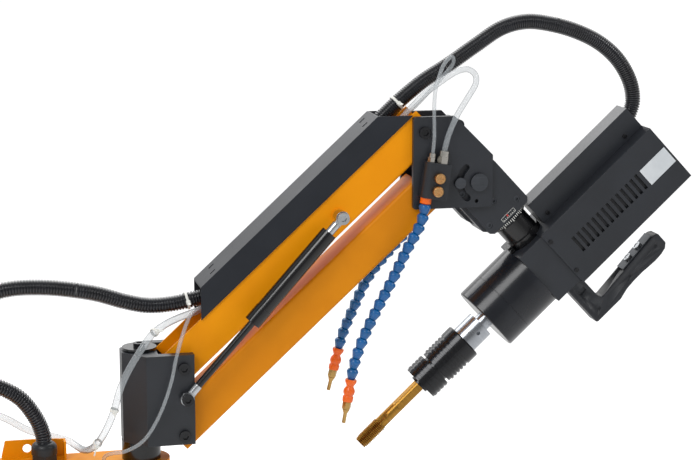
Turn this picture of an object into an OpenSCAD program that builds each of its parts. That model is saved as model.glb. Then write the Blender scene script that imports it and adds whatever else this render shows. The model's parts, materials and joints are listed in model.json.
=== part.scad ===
// Arm tapping machine: bench column, swinging arm, parallelogram arm with gas
// strut, tilting and turning head, spindle with quick-change chuck, coolant hoses.
// Millimetres, +Z up, origin at the centre of the base plate's underside.

/* [Base and column] */
// Side of the square base plate
base_w = 220; // [180:10:300]
// Thickness of the base plate
base_t = 18; // [12:1:30]
// Spacing of the four bench bolts
bolt_spacing = 170; // [150:5:175]
// Diameter of the bench bolt holes
bolt_hole_d = 13.5; // [9:0.5:18]
// Outer diameter of the column tube
column_d = 90; // [80:2:100]
// Height of the first arm's top face above the bench
arm_top_z = 521; // [400:10:600]

/* [First arm] */
// Distance from the column axis to the post axis
arm_len = 450; // [380:10:520]
// Depth of the first arm's box section
arm_h = 70; // [60:2:90]
// Width of the first arm's box section
arm_w = 76; // [70:2:88]
// Wall of the first arm
arm_wall = 5; // [3:0.5:7]
// Diameter of the column shaft in the arm's bearings
shaft_d = 50; // [40:2:54]

/* [Swivel bracket] */
// Diameter of the pillar under the bracket
pillar_d = 52; // [44:2:54]
// Height of the pillar
pillar_h = 26.7; // [24:0.1:34]
// Diameter of the post in the bracket's bushes
post_d = 30; // [24:1:30]
// Height of the bracket
bracket_h = 122; // [120:1:134]
// Outer width of the bracket over both cheeks
bracket_w = 92; // [88:1:110]
// Gap between the cheeks
cheek_gap = 64; // [62:0.5:68]

/* [Parallelogram arm] */
// Length of both beams between pivots
link_len = 446; // [420:2:480]
// Vertical distance between the two pivots at each end
pivot_gap = 92; // [90:1:100]
// Angle of the beams above the horizontal at rest
arm_deg = 42.5; // [38:0.5:46]
// Width of both beams
beam_w = 56; // [50:1:56]
// Height of both beams
beam_h = 50; // [44:1:50]
// Sheet thickness of both beams
beam_wall = 3; // [2:0.5:4]
// Diameter of the four pivot pins
pin_d = 14; // [10:1:16]
// Outer width of the black beam cover
cover_w = 62; // [60:0.5:66]
// Sheet thickness of the beam cover
cover_t = 1.5; // [1:0.1:2]

/* [Gas strut] */
// Diameter of the strut's cylinder
strut_d = 22; // [18:1:26]
// Diameter of the strut's rod
rod_d = 10; // [6:1:12]
// Distance of the upper strut eye from the shoulder pivot, along the beam
strut_reach = 287.5; // [270:0.5:300]

/* [Head bracket] */
// Thickness of each head plate
plate_t = 7; // [5:0.5:9]
// Gap between the two head plates
plate_gap = 57.2; // [57:0.1:60]
// Angle of the turning axis below the horizontal at rest
tilt_deg = 47; // [43:0.5:50]
// Radius of the tilt slot about the tilt pin
slot_r = 26.5; // [25:0.5:29]
// Width of the tilt slot
slot_w = 9.6; // [9.4:0.1:11]

/* [Head] */
// Distance from the tilt pin to the spindle axis
head_reach = 161; // [158:1:170]
// Diameter of the turning barrel
barrel_d = 48; // [44:1:50]
// Diameter of the graduated ring
ring_d = 60; // [56:1:64]
// Diameter of the gearbox
gearbox_d = 98; // [90:1:100]
// Length of the gearbox below the gear housing
gearbox_len = 88; // [80:1:96]
// Height of the motor cover across the spindle axis
cover_h = 92; // [90:1:96]
// Length of the motor cover
motor_len = 210; // [200:2:240]
// Width of the motor cover
motor_w = 90; // [88:1:100]

/* [Spindle] */
// Diameter of the ground spindle
spindle_d = 40; // [34:1:42]
// Diameter of the quick-change chuck
chuck_d = 54; // [52:1:60]
// Nominal thread diameter of the tap
tap_d = 20; // [12:1:24]
// Length of tap below the chuck
tap_len = 114; // [90:1:130]
// Pitch of the tap's thread
tap_pitch = 2.5; // [2:0.5:3]

/* [Hoses and tubes] */
// Outer diameter of the corrugated conduit
conduit_d = 21.2; // [18:0.1:21.2]
// Bore of the corrugated conduit
conduit_bore = 14; // [10:0.5:14]
// Rib pitch of the corrugated conduit
rib_pitch = 5.2; // [5:0.1:7]
// Largest diameter of a coolant hose link
link_d = 16.2; // [14:0.1:16.2]
// Pitch of the coolant hose links
link_pitch = 14.3; // [14:0.1:14.6]

/* [Hidden] */
$fn = 48;

// Clearances
gap = 0.3;          // between faces that move past each other
run = 0.05;         // radial running fit of a pin in its bore
eps = 0.5;          // how far a cut reaches past the face it opens

// Colours
orange = "#E69500";
black = "#2B2D32";
gloss = "#17181B";
steel = "#B9BCC0";
dark_steel = "#4A4D52";
bronze = "#A8814F";
brass = "#B08D55";
knob_brass = "#E0A860";
gold = "#C99A3A";
blue = "#0B5FA5";
nozzle_orange = "#F06A10";
clear_grey = "#DDE1E4";
white = "#F2F2F0";

// Heights of the stack
arm_z = arm_top_z - arm_h;
column_top = arm_z - gap;
bracket_z = arm_top_z + pillar_h + gap;
bracket_top = bracket_z + bracket_h;
pivot_x = 53;                       // shoulder pivots, from the post axis
lower_pivot_up = 12;                // lower pivot above the bracket's underside
Pl = [arm_len + pivot_x, 0, bracket_z + lower_pivot_up];
Pu = Pl + [0, 0, pivot_gap];
link = link_len * [cos(arm_deg), 0, sin(arm_deg)];
Qu = Pu + link;
Ql = Pl + link;
tilt_dx = 75.7;                     // tilt pin from the upper wrist pivot
tilt_dz = -69.1;
T = Qu + [tilt_dx, 0, tilt_dz];

hub_r = 50;
shaft_plug = 40;                    // depth of the shaft in the column's head
bearing_w = 16;
bearing_d = shaft_d + 12;
spigot_r = 20;                      // post spigot in the arm's end
bush_t = 2;
bush_h = 20;
cap_r = 23;
cap_t = 4;
bracket_left = 25;                  // bracket's end behind the post axis
bracket_right = 67;                 // cheek ends ahead of the post axis
hub_right = 21;                     // web ahead of the post axis
web_bevel = 14;                     // half width of the bracket's left face
head_r = 8;                         // socket screw heads
head_t = 5;
socket_r = 4.4;
socket_depth = 3;

beam_end = 12;                      // beam beyond each pivot
beam_under = 22.5;                  // beam's underside below the pivot line
beam_over = beam_h - beam_under;
beam_corner = 4;
sleeve_wall = 4;
cover_bottom = 26.5;
cover_top = 59.3;
cover_start = 60;                   // lower corner of the cover along the beam
cover_end = 450.5;
tie_slot = [9, 4];                  // small slots in the cover's top

// Gas strut, worked out from its two eyes at rest
strut_a = Pu + [2.5, 0, -39];
strut_b = Pu + strut_reach * [cos(arm_deg), 0, sin(arm_deg)];
strut_vec = strut_b - strut_a;
strut_len = norm(strut_vec);
strut_deg = atan2(strut_vec[2], strut_vec[0]);
strut_y = -bracket_w / 2 - 7;
eye_r = 9;
eye_w = 10;
eye_pin_r = 4;
barrel_top = 26;                    // distance of the cylinder's ends from the upper eye
barrel_end = 182;
strut_bore_r = 8;
piston_depth = 60;                  // rod inside the cylinder at rest

plate_in = plate_gap / 2;
plate_out = plate_in + plate_t;
plate_left = -15.5;
plate_top = 21;
plate_right = 95.5;
plate_bottom = -103.5;
plate_cut = 54;                     // sloping corner at the top right
spacer_r = 7;
spacer_a = [50, 8];
spacer_b = [26, -46];
tilt_pin_r = 8;
lock_r = 4.4;
lock_head_r = 7.6;
lock_u = -slot_r * 0.668;           // lock pin in the knuckle's own frame
lock_v = -slot_r * 0.744;

// Valve block, in its own frame on the front plate
valve_at = [11.7, -63.3];           // from the upper wrist pivot
valve_lean = 8.5;
valve_w = 34;
valve_h = 48;
valve_d = 21;
valve_left_r = 10;
outlet_x = -8.5;
outlet_len = 9;
outlet_r = 7.6;
knob_r = 7.2;
knob_len = 9;
knob_stem_r = 3;
knob_x = 2;
knob_z = [5, -12.5];
fitting_x = [-8.8, 7];
fitting_r = [5.4, 8.4];
fitting_h = [12, 17];
rear_block = [13, -80];             // rear outlet, from the upper wrist pivot
rear_block_w = 24;
rear_block_d = 20;

// Angle from the vertical of each link of the two coolant hoses, top to bottom
front_bends = [8, 18, 28, 31, 28, 26, 26, 27, 28, 29, 28, 27, 26, 24, 22, 19, 15, 10];
rear_bends = [5, 15, 25, 34, 42, 44, 43, 42, 38, 33, 27, 24, 24, 25, 23, 20, 14];
link_bore_r = 3;
ball_r = 5.5;
ball_gap = 0.25;
ball_drop = 3.2;
neck_r = 4;

knuckle_half = plate_in - gap;
knuckle_r = 36;
knuckle_len = 72;
pad_t = [4.5, 8.5];                 // stepped pad under the knuckle
barrel_start = knuckle_len + gap;
ring_t = 6.7;
barrel_r = barrel_d / 2;
spindle_u = head_reach;
housing_top_u = spindle_u - 44;     // housing's face that carries the barrel
housing_bottom_u = spindle_u + 41;
housing_v = [-31, 34];
housing_half = 42;
case_half = cover_h / 2;
case_v = 11;
sheet = 1.5;
wiring_u = [spindle_u - 81, spindle_u - case_half];
wiring_v = [29.5, 220];
wiring_half = 18;
gearbox_v = housing_v[0] - gearbox_len;
seam_v = housing_v[0] - 54;
seam_r = gearbox_d / 2 - 0.8;
neck_len = 9.5;
spindle_len = 32;
chuck_v = gearbox_v - neck_len - spindle_len;
chuck_len = 85;
sleeve_len = 28;
sleeve_gap = 3;
core_r = 20;
tap_v = chuck_v - chuck_len - 3;

handle_half = 13.5;
handle_out = spindle_u + 117;       // furthest point of the handle
leg_v = [-9.5, 17];
grip_at = [spindle_u + 94.5, 21.5]; // lower end of the grip's inner face
grip_lean = 5.9;                    // the inner face leans towards the motor
grip_end = 138;
// Finger waves on the grip's outer side: share of its length, depth
grip_waves = [[0.17, 0], [0.3, 4.2], [0.42, 5.6], [0.57, 5.8], [0.68, 4.8], [0.77, 4.2],
    [0.87, 5], [0.95, 7.5]];
plate_span = [47, 108];             // metal plate, along the grip's inner face
button_at = [65, 86];               // buttons, along the grip's inner face
window_u = [63, 70];                // recess in the leg, from the spindle axis
window_v = [0, 11];
handle_screws = [[103, 6.5], [101.5, 68.3], [96.2, 123.4]];
button_r = 6;
plate_thick = 2;
button_out = 3;

// Conduit and tube routes at rest, in the arm's plane unless a y is given
tie_d = 2.6;
// Arch over the head: out of the beam cover, over, and into the wiring cover
arch_path = [[769, 4, 957], [786, 5, 973], [809, 7, 993], [842, 9, 1018], [878, 8, 1040],
    [915, 7, 1065], [950, 6, 1087], [985, 5, 1095], [1020, 4, 1091], [1055, 3, 1081],
    [1088, 2, 1065], [1115, 1, 1042], [1133, 0, 1013], [1139, 0, 985], [1133, 0, 962],
    [1125, 0, 944]];
// Service loop: out of the beam cover, back over the first arm and into the gland
loop_path = [[566, 0, 743], [548, 0, 739], [524, 0, 735], [497, 0, 730], [464, 0, 729],
    [432, 0, 736], [388, 0, 750], [326, 0, 760], [270, 0, 758], [215, 4, 735],
    [185, 6, 700], [190, 6, 664], [228, 4, 643], [266, 0, 629], [293, 0, 611],
    [312, 0, 583], [320, 0, 560], [321, 0, 540], [321, 0, 526]];
arch_cuts = [0, 130, 300, 1000];
loop_cuts = [0, 205, 1000];
// Thin and thick coolant feed tubes from the conduit tie to the fittings
thin_feed = [[811, -8, 975], [824, -12, 985], [840, -17, 1003], [858, -22, 1024],
    [872, -28, 1043], [869, -34, 1054], [857, -38, 1044], [847.7, -42, 1024],
    [842.8, -45, 1005], [841.6, -46.1, 980], [842.2, -46.1, 956], [841.4, -46.1, 937],
    [840.1, -46.1, 926.9], [838.96, -46.1, 919]];
thick_feed = [[800, -16, 966], [818, -19, 986], [834.5, -23, 1003], [856, -28, 1020],
    [875, -32, 1032.5], [890, -36, 1036.5], [900, -39, 1029], [899.5, -42, 1017],
    [889, -45, 1001], [873, -46.1, 976], [862.5, -46.1, 952], [857.8, -46.1, 936],
    [856.5, -46.1, 929.5], [855.3, -46.1, 921.6]];
// Rear bundle from the beam cover down to the first arm
bundle_path = [[556, 8, 726], [528, 2, 717.5], [500, -17, 713.5], [478, -36, 709],
    [461, -50, 701], [446, -57.5, 684], [434, -58.5, 666], [424, -58.5, 648],
    [415.6, -58, 627.5], [410.2, -56, 607.6], [404.7, -53, 591], [396.2, -45, 570],
    [388, -32, 553], [380, -15, 541], [373, 6, 534.5], [366, 24, 534.5], [357, 38, 538],
    [338, 42, 544], [304, 40, 556], [266, 34, 580], [232, 20, 587], [200, 4, 568],
    [187, 0, 545], [186, 0, 530], [186, 0, 518]];
single_path = [[548, -20, 731], [531, -24, 729], [514, -38, 722], [500, -54, 697],
    [491, -60, 670], [483, -60, 635], [469, -58, 596], [449, -54, 562], [427, -42, 544],
    [408, -28, 537], [399, -20, 531], [397, -18, 521.3]];
bundle_cut = 150;
single_cut = 250;
thick_tube = 8;
thin_tube = 5;
bundle_tube = 9.6;
arch_tie = 47;
loop_tie = 52;
bundle_ties = [112, 230, 289];      // ties along the rear bundle

// ---------------------------------------------------------------- frames

// Beam frame: x along the beam from its shoulder pivot, z square to it
module beam_frame(pivot) {
    translate(pivot) rotate([0, -arm_deg, 0]) children();
}

// Strut frame: x from the lower eye to the upper eye
module strut_frame() {
    translate([strut_a[0], strut_y, strut_a[2]]) rotate([0, -strut_deg, 0]) children();
}

// Head frame: x along the turning axis from the tilt pin, z against the tap
module head_frame() {
    translate(T) rotate([0, tilt_deg, 0]) children();
}

// Spindle frame: z along the spindle axis, up towards the motor
module spindle_frame() {
    head_frame() translate([spindle_u, 0, 0]) children();
}

module wrist_frame() {
    translate(Qu) children();
}

// Cylinder along Y between two y values
module ycyl(r, y0, y1) {
    translate([0, y1, 0]) rotate([90, 0, 0]) cylinder(r = r, h = y1 - y0);
}

// Cylinder along X between two x values
module xcyl(r, x0, x1) {
    translate([x0, 0, 0]) rotate([0, 90, 0]) cylinder(r = r, h = x1 - x0);
}

// Rounded rectangle from one corner to the other
module rounded(lo, hi, r) {
    translate([lo[0] + r, lo[1]]) square([hi[0] - lo[0] - 2 * r, hi[1] - lo[1]]);
    translate([lo[0], lo[1] + r]) square([hi[0] - lo[0], hi[1] - lo[1] - 2 * r]);
    for (x = [lo[0] + r, hi[0] - r], y = [lo[1] + r, hi[1] - r])
        translate([x, y]) circle(r = r);
}

// A flat plate in the XZ plane between two y values
module plate_xz(y0, y1) {
    translate([0, y1, 0]) rotate([90, 0, 0]) linear_extrude(height = y1 - y0) children();
}

// Socket head screw whose head faces -Y at y = 0 and whose shank runs to +Y
module socket_screw(r, t, shank_r, shank_len) {
    difference() {
        union() {
            ycyl(r, -t, 0);
            ycyl(shank_r, -t / 2, shank_len);
        }
        translate([0, -t - eps, 0]) rotate([-90, 0, 0])
            cylinder(r = r * 0.55, h = t * 0.6 + eps, $fn = 6);
    }
}

// ---------------------------------------------------------------- base

module base_plate() {
    color(orange) difference() {
        translate([-base_w / 2, -base_w / 2, 0]) cube([base_w, base_w, base_t]);
        for (x = [-1, 1], y = [-1, 1])
            translate([x * bolt_spacing / 2, y * bolt_spacing / 2, -eps])
                cylinder(d = bolt_hole_d, h = base_t + 2 * eps);
    }
}

gusset_h = 60;
gusset_w = 28;
column_wall = 8;
module column() {
    color(orange) difference() {
        union() {
            translate([0, 0, base_t]) cylinder(d = column_d, h = column_top - base_t);
            for (a = [0 : 90 : 270]) rotate([0, 0, a])
                translate([column_d / 2 - 2, 4, base_t]) rotate([90, 0, 0])
                    linear_extrude(height = 8)
                        polygon([[0, 0], [gusset_w, 0], [gusset_w, 8], [2, gusset_h], [0, gusset_h]]);
        }
        translate([0, 0, base_t - eps])
            cylinder(r = column_d / 2 - column_wall, h = column_top - base_t - shaft_plug + eps);
        translate([0, 0, column_top - shaft_plug - 1])
            cylinder(d = shaft_d, h = shaft_plug + 1 + eps);
    }
}

module column_shaft() {
    color(steel) translate([0, 0, column_top - shaft_plug])
        cylinder(d = shaft_d, h = arm_top_z + gap - column_top + shaft_plug);
    color(dark_steel) translate([0, 0, arm_top_z + gap]) difference() {
        union() {
            cylinder(d = bearing_d + 14, h = 5);
            translate([0, 0, 5]) cylinder(r = 11, h = 7);
        }
        translate([0, 0, 8]) cylinder(r = 6, h = 5, $fn = 6);
    }
}

// ---------------------------------------------------------------- first arm

gland_x = 321;
gland_hex_r = 18;
gland_z = arm_top_z;
module first_arm() {
    color(orange) difference() {
        union() {
            translate([0, -arm_w / 2, arm_z]) cube([arm_len, arm_w, arm_h]);
            translate([0, 0, arm_z]) cylinder(r = hub_r, h = arm_h);
            translate([arm_len, 0, arm_z]) cylinder(r = arm_w / 2, h = arm_h);
        }
        translate([0, 0, arm_z - eps]) cylinder(d = bearing_d, h = arm_h + 2 * eps);
        translate([arm_len, 0, arm_z - eps]) cylinder(r = spigot_r, h = arm_h + 2 * eps);
        // Open underside between the two hubs
        translate([hub_r + arm_wall, -arm_w / 2 + arm_wall, arm_z - eps])
            cube([arm_len - hub_r - arm_w / 2 - 2 * arm_wall, arm_w - 2 * arm_wall,
                arm_h - arm_wall + eps]);
        // Holes for the gland, the coolant tubes and the single tube
        translate([gland_x, 0, arm_z]) cylinder(r = 13, h = arm_h + eps);
        translate([186, 0, arm_z]) cylinder(r = bundle_tube / 2 + gap, h = arm_h + eps);
    }
}

module hub_bearings() {
    color(steel) for (z = [arm_z, arm_top_z - bearing_w]) translate([0, 0, z]) difference() {
        cylinder(d = bearing_d, h = bearing_w);
        translate([0, 0, -eps]) cylinder(r = shaft_d / 2 + run, h = bearing_w + 2 * eps);
    }
}

module post() {
    color(gloss) translate([arm_len, 0, 0]) {
        translate([0, 0, arm_z + 4]) cylinder(r = spigot_r, h = arm_h - 4);
        translate([0, 0, arm_top_z]) cylinder(d = pillar_d, h = pillar_h);
        translate([0, 0, arm_top_z + pillar_h])
            cylinder(d = post_d, h = bracket_top + gap - arm_top_z - pillar_h);
    }
}

module swivel_cap() {
    color(black) translate([arm_len, 0, bracket_top + gap]) difference() {
        union() {
            cylinder(r = cap_r, h = cap_t);
            translate([0, 0, cap_t]) cylinder(r = head_r, h = head_t);
        }
        translate([0, 0, cap_t + head_t - socket_depth])
            cylinder(r = socket_r, h = socket_depth + eps, $fn = 6);
    }
}

module cable_gland() {
    color(black) translate([gland_x, 0, gland_z]) {
        difference() {
            union() {
                translate([0, 0, -14]) cylinder(r = 13, h = 14);
                rotate([0, 0, 30]) cylinder(r = gland_hex_r, h = 14, $fn = 6);
                translate([0, 0, 14]) cylinder(r = 17, h = 8);
                translate([0, 0, 22]) rotate_extrude() intersection() {
                    translate([9, 0]) circle(r = 8);
                    square([17, 8]);
                }
                translate([0, 0, 22]) cylinder(r = 13.4, h = 4.5);
            }
            translate([0, 0, -14 - eps]) cylinder(r = 8, h = 50);
            translate([0, 0, 3]) cylinder(r = conduit_d / 2 + gap, h = 50);
        }
    }
}

module cable_bracket() {
    color(orange) translate([0, 24, arm_top_z]) difference() {
        union() {
            plate_xz(0, 3) polygon([[266, 0], [351, 0], [351, 25], [304, 27], [271, 27], [266, 6]]);
            translate([348, -14, 0]) cube([3, 17, 25]);
            translate([266, -10, 0]) cube([85, 13, 3]);
        }
        translate([300, 0, 15]) ycyl(6, -eps, 3 + eps);
        translate([gland_x, -24, -eps]) cylinder(r = gland_hex_r + 0.5, h = 30);
    }
}

// ---------------------------------------------------------------- swivel bracket

module swivel_bracket() {
    half = bracket_w / 2;
    color(black) difference() {
        translate([arm_len, 0, bracket_z]) linear_extrude(height = bracket_h)
            polygon([[bracket_right, -half], [3.5, -half], [-bracket_left, -web_bevel],
                [-bracket_left, web_bevel], [3.5, half], [bracket_right, half]]);
        translate([arm_len + hub_right, -cheek_gap / 2, bracket_z - eps])
            cube([bracket_right, cheek_gap, bracket_h + 2 * eps]);
        translate([arm_len, 0, bracket_z - eps])
            cylinder(r = post_d / 2 + run + bush_t, h = bracket_h + 2 * eps);
        for (p = [Pu, Pl]) translate(p) ycyl(pin_d / 2, -half - eps, half + eps);
        translate(strut_a) ycyl(eye_pin_r, -half - eps, -half + 8);
    }
}

module swivel_bushes() {
    color(bronze) for (z = [bracket_z, bracket_top - bush_h])
        translate([arm_len, 0, z]) difference() {
            cylinder(r = post_d / 2 + run + bush_t, h = bush_h);
            translate([0, 0, -eps]) cylinder(r = post_d / 2 + run, h = bush_h + 2 * eps);
        }
}

// A pivot pin through two cheeks, with a socket head at each end
module pivot_pin(half, r, head) {
    difference() {
        union() {
            ycyl(r, -half, half);
            ycyl(head, -half - head_t, -half);
            ycyl(head, half, half + head_t);
        }
        for (s = [-1, 1]) scale([1, s, 1]) translate([0, -half - head_t - eps, 0])
            rotate([-90, 0, 0]) cylinder(r = socket_r, h = socket_depth + eps, $fn = 6);
    }
}

module shoulder_pins() {
    half = bracket_w / 2;
    color(dark_steel) {
        for (p = [Pu, Pl]) translate(p) pivot_pin(half, pin_d / 2, head_r);
        translate([strut_a[0], 0, strut_a[2]]) {
            ycyl(eye_pin_r, strut_y - eye_w / 2 - gap, -half + 8);
            ycyl(7, strut_y + eye_w / 2 + gap, -half);
            translate([0, strut_y - eye_w / 2 - gap, 0])
                socket_screw(head_r, head_t, eye_pin_r, 0.5);
        }
    }
}

// ---------------------------------------------------------------- beams

module sleeve(at) {
    translate([at, 0, 0]) ycyl(pin_d / 2 + run + sleeve_wall, -cheek_gap / 2 + gap, cheek_gap / 2 - gap);
}

module wrist_sleeve(at) {
    translate([at, 0, 0]) ycyl(pin_d / 2 + run + sleeve_wall, -plate_in + gap, plate_in - gap);
}

module sleeve_bore(at) {
    translate([at, 0, 0]) ycyl(pin_d / 2 + run, -cheek_gap, cheek_gap);
}

// Section of a beam: y across, z up, drawn as x and y
module beam_section(open_top) {
    difference() {
        rounded([-beam_w / 2, -beam_under], [beam_w / 2, beam_over], beam_corner);
        rounded([-beam_w / 2 + beam_wall, -beam_under + beam_wall],
            [beam_w / 2 - beam_wall, beam_over - beam_wall], beam_corner - beam_wall);
        if (open_top) translate([-beam_w / 2 - eps, beam_over - beam_corner])
            square([beam_w + 2 * eps, beam_corner + eps]);
    }
    if (open_top) for (s = [-1, 1])
        translate([s * (beam_w - beam_wall) / 2 - beam_wall / 2, beam_over - beam_corner - eps])
            square([beam_wall, beam_corner + eps]);
}

module beam(pivot, open_top) {
    beam_frame(pivot) difference() {
        union() {
            translate([-beam_end, 0, 0]) rotate([90, 0, 90])
                linear_extrude(height = link_len + 2 * beam_end) beam_section(open_top);
            sleeve(0);
            wrist_sleeve(link_len);
        }
        sleeve_bore(0);
        sleeve_bore(link_len);
    }
}

module upper_beam() {
    color(orange) {
        beam(Pu, true);
        // Boss behind the strut's upper eye
        beam_frame(Pu) translate([strut_reach, 0, 0])
            ycyl(8, -beam_w / 2 - 4, -beam_w / 2);
    }
}

module lower_beam() {
    color("#D9860F") beam(Pl, false);
}

// Outline of the cover in the beam frame: its ends are cut upright and level
module cover_outline(inset) {
    rise = cover_top - cover_bottom;
    left = rise * tan(arm_deg);
    right = rise / tan(arm_deg);
    polygon([[cover_start + inset * 0, cover_bottom - (inset > 0 ? 20 : 0)],
        [cover_end, cover_bottom - (inset > 0 ? 20 : 0)],
        [cover_end, cover_bottom],
        [cover_end - right + inset / tan(arm_deg), cover_top - inset],
        [cover_start + left - inset * tan(arm_deg), cover_top - inset],
        [cover_start, cover_bottom]]);
}

module beam_cover() {
    inner = beam_w / 2 + gap;
    color(black) beam_frame(Pu) difference() {
        plate_xz(-cover_w / 2, cover_w / 2) cover_outline(0);
        // Hollow, open at both ends and over the channel
        translate([cover_start - 60, -cover_w / 2 + cover_t, cover_bottom - eps])
            cube([cover_end, cover_w - 2 * cover_t, cover_top - cover_bottom - cover_t + eps]);
        for (x = [116.5, 398]) for (s = [-1, 1])
            translate([x + 1.5 * s - tie_slot[0] / 2, s * 13 - tie_slot[1] / 2, cover_top - 5])
                cube([tie_slot[0], tie_slot[1], 10]);
    }
    // Inner lips that seat the cover on the channel's edges
    color(black) beam_frame(Pu) for (s = [-1, 1])
        translate([cover_start + 32, s * (inner + cover_w / 2 - cover_t) / 2 - (cover_w / 2 - cover_t - inner + 0.02) / 2,
            cover_bottom]) cube([300, cover_w / 2 - cover_t - inner + 0.02, 1]);
}

// ---------------------------------------------------------------- gas strut

module strut_rod() {
    color(gloss) strut_frame()
        xcyl(rod_d / 2, eye_r + 14, strut_len - barrel_end + piston_depth);
    color(steel) strut_frame()
        xcyl(strut_bore_r - run, strut_len - barrel_end + piston_depth,
            strut_len - barrel_end + piston_depth + 12);
}

// Eye with a threaded socket; the socket runs along +X
module eye(socket_len) {
    difference() {
        union() {
            ycyl(eye_r, -eye_w / 2, eye_w / 2);
            translate([0, -4, -5]) cube([eye_r + 3, 8, 10]);
            xcyl(6, eye_r + 2, eye_r + socket_len);
        }
        ycyl(eye_pin_r + run, -eye_w, eye_w);
    }
}

module strut_lower_eye() {
    color(steel) strut_frame() eye(14);
}

module strut_barrel() {
    start = strut_len - barrel_end;
    color(gloss) strut_frame() {
        difference() {
            xcyl(strut_d / 2, start + 10, strut_len - barrel_top);
            xcyl(strut_bore_r, start, strut_len - barrel_top - 6);
        }
        difference() {
            xcyl(strut_d / 2 + 0.6, start, start + 24);
            xcyl(rod_d / 2 + run, start - eps, start + 25);
            xcyl(strut_d / 2, start + 10, start + 25);
        }
    }
}

module strut_upper_eye() {
    color(steel) strut_frame() {
        translate([strut_len, 0, 0]) rotate([0, 180, 0]) eye(barrel_top - eye_r);
    }
    // Screw and spacer that turn with the eye, up to the beam's boss
    color(dark_steel) translate([strut_b[0], 0, strut_b[2]]) {
        ycyl(eye_pin_r, strut_y - eye_w / 2 - 0.2, -beam_w / 2 - 4 - gap);
        ycyl(7, strut_y + eye_w / 2 + 0.2, -beam_w / 2 - 4 - gap);
        translate([0, strut_y - eye_w / 2 - 0.2, 0])
            socket_screw(head_r, head_t, eye_pin_r, 0.5);
    }
}

// ---------------------------------------------------------------- head bracket

corner = 4;
// Corner points of an outline with its corners cut back in two steps
module head_plate_outline() {
    r = corner;
    polygon([[plate_left + r, plate_top], [plate_right - plate_cut, plate_top],
        [plate_right, plate_top - plate_cut], [plate_right, plate_bottom + r],
        [plate_right - r, plate_bottom], [plate_left + r, plate_bottom],
        [plate_left, plate_bottom + r], [plate_left, plate_top - r]]);
    for (p = [[plate_left + r, plate_top - r], [plate_left + r, plate_bottom + r],
        [plate_right - r, plate_bottom + r]]) translate(p) circle(r = r);
}

module head_plate(y0, y1, slotted) {
    color(black) wrist_frame() difference() {
        plate_xz(y0, y1) head_plate_outline();
        for (p = [[0, 0], [0, -pivot_gap]]) translate([p[0], 0, p[1]])
            ycyl(pin_d / 2, y0 - eps, y1 + eps);
        translate([tilt_dx, 0, tilt_dz]) {
            ycyl(tilt_pin_r, y0 - eps, y1 + eps);
            translate([-2.5, 0, -26]) ycyl(2.6, y0 - eps, y1 + eps);
            if (slotted) plate_xz(y0 - eps, y1 + eps) polygon(slot_points());
        }
        for (p = [spacer_a, spacer_b]) translate([p[0], 0, p[1]])
            ycyl(2.5, y0 - eps, y1 + eps);
    }
}

// Outline of the curved slot, about the tilt pin
function slot_points() = let (w = slot_w / 2, a0 = 132, a1 = 234, p0 = slot_r * [cos(a0), sin(a0)],
    p1 = slot_r * [cos(a1), sin(a1)]) concat(
    [for (i = [0 : 17]) (slot_r + w) * [cos(a0 + 6 * i), sin(a0 + 6 * i)]],
    [for (i = [1 : 7]) p1 + w * [cos(a1 + 22.5 * i), sin(a1 + 22.5 * i)]],
    [for (i = [17 : -1 : 0]) (slot_r - w) * [cos(a0 + 6 * i), sin(a0 + 6 * i)]],
    [for (i = [1 : 7]) p0 + w * [cos(a0 + 180 + 22.5 * i), sin(a0 + 180 + 22.5 * i)]]);

module front_head_plate() {
    head_plate(-plate_out, -plate_in, true);
}

module rear_head_plate() {
    head_plate(plate_in, plate_out, true);
}

module plate_spacers() {
    color(black) wrist_frame() for (p = [spacer_a, spacer_b])
        translate([p[0], 0, p[1]]) {
            ycyl(spacer_r, -plate_in, plate_in);
            ycyl(2.5, -plate_out, plate_out);
        }
}

module wrist_pins() {
    color(dark_steel) {
        translate(Qu) pivot_pin(plate_out, pin_d / 2, head_r);
        // The lower pin ends flush with the front plate, behind the valve block
        translate(Ql) difference() {
            union() {
                ycyl(pin_d / 2, -plate_out, plate_out);
                ycyl(head_r, plate_out, plate_out + head_t);
            }
            translate([0, plate_out + head_t - socket_depth, 0]) rotate([-90, 0, 0])
                cylinder(r = socket_r, h = socket_depth + eps, $fn = 6);
        }
    }
}

module tilt_pin() {
    color(dark_steel) translate(T) {
        ycyl(tilt_pin_r, -plate_out, plate_out);
        ycyl(12, -plate_out - 5, -plate_out);
        ycyl(12, plate_out, plate_out + 5);
    }
}

// Valve block frame: leaning with the block, y = 0 on the front plate
module valve_frame() {
    wrist_frame() translate([valve_at[0], -plate_out, valve_at[1]])
        rotate([0, valve_lean, 0]) children();
}

module valve_block() {
    lo = -valve_w / 2;
    color(black) valve_frame() difference() {
        translate([0, 0, -valve_h / 2]) linear_extrude(height = valve_h) {
            translate([lo + valve_left_r, -valve_d]) square([valve_w - valve_left_r, valve_d]);
            translate([lo, -valve_d + valve_left_r]) square([valve_w, valve_d - valve_left_r]);
            translate([lo + valve_left_r, -valve_d + valve_left_r]) circle(r = valve_left_r);
        }
        for (z = knob_z) translate([knob_x, 0, z]) ycyl(knob_stem_r + run, -valve_d - eps, -valve_d + 8);
        for (i = [0, 1]) translate([fitting_x[i], -valve_d / 2, valve_h / 2 - 6])
            cylinder(r = 3, h = 7);
    }
}

module tube_fittings() {
    color(steel) valve_frame() for (i = [0, 1])
        translate([fitting_x[i], -valve_d / 2, valve_h / 2]) difference() {
            union() {
                cylinder(r = fitting_r[i], h = fitting_h[i] * 0.55, $fn = 6);
                cylinder(r = fitting_r[i] * 0.82, h = fitting_h[i]);
                translate([0, 0, -6]) cylinder(r = 3, h = 7);
            }
            translate([0, 0, fitting_h[i] - 9])
                cylinder(r = (i == 0 ? thin_tube : thick_tube) / 2 + 0.2, h = 12);
        }
}

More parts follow.
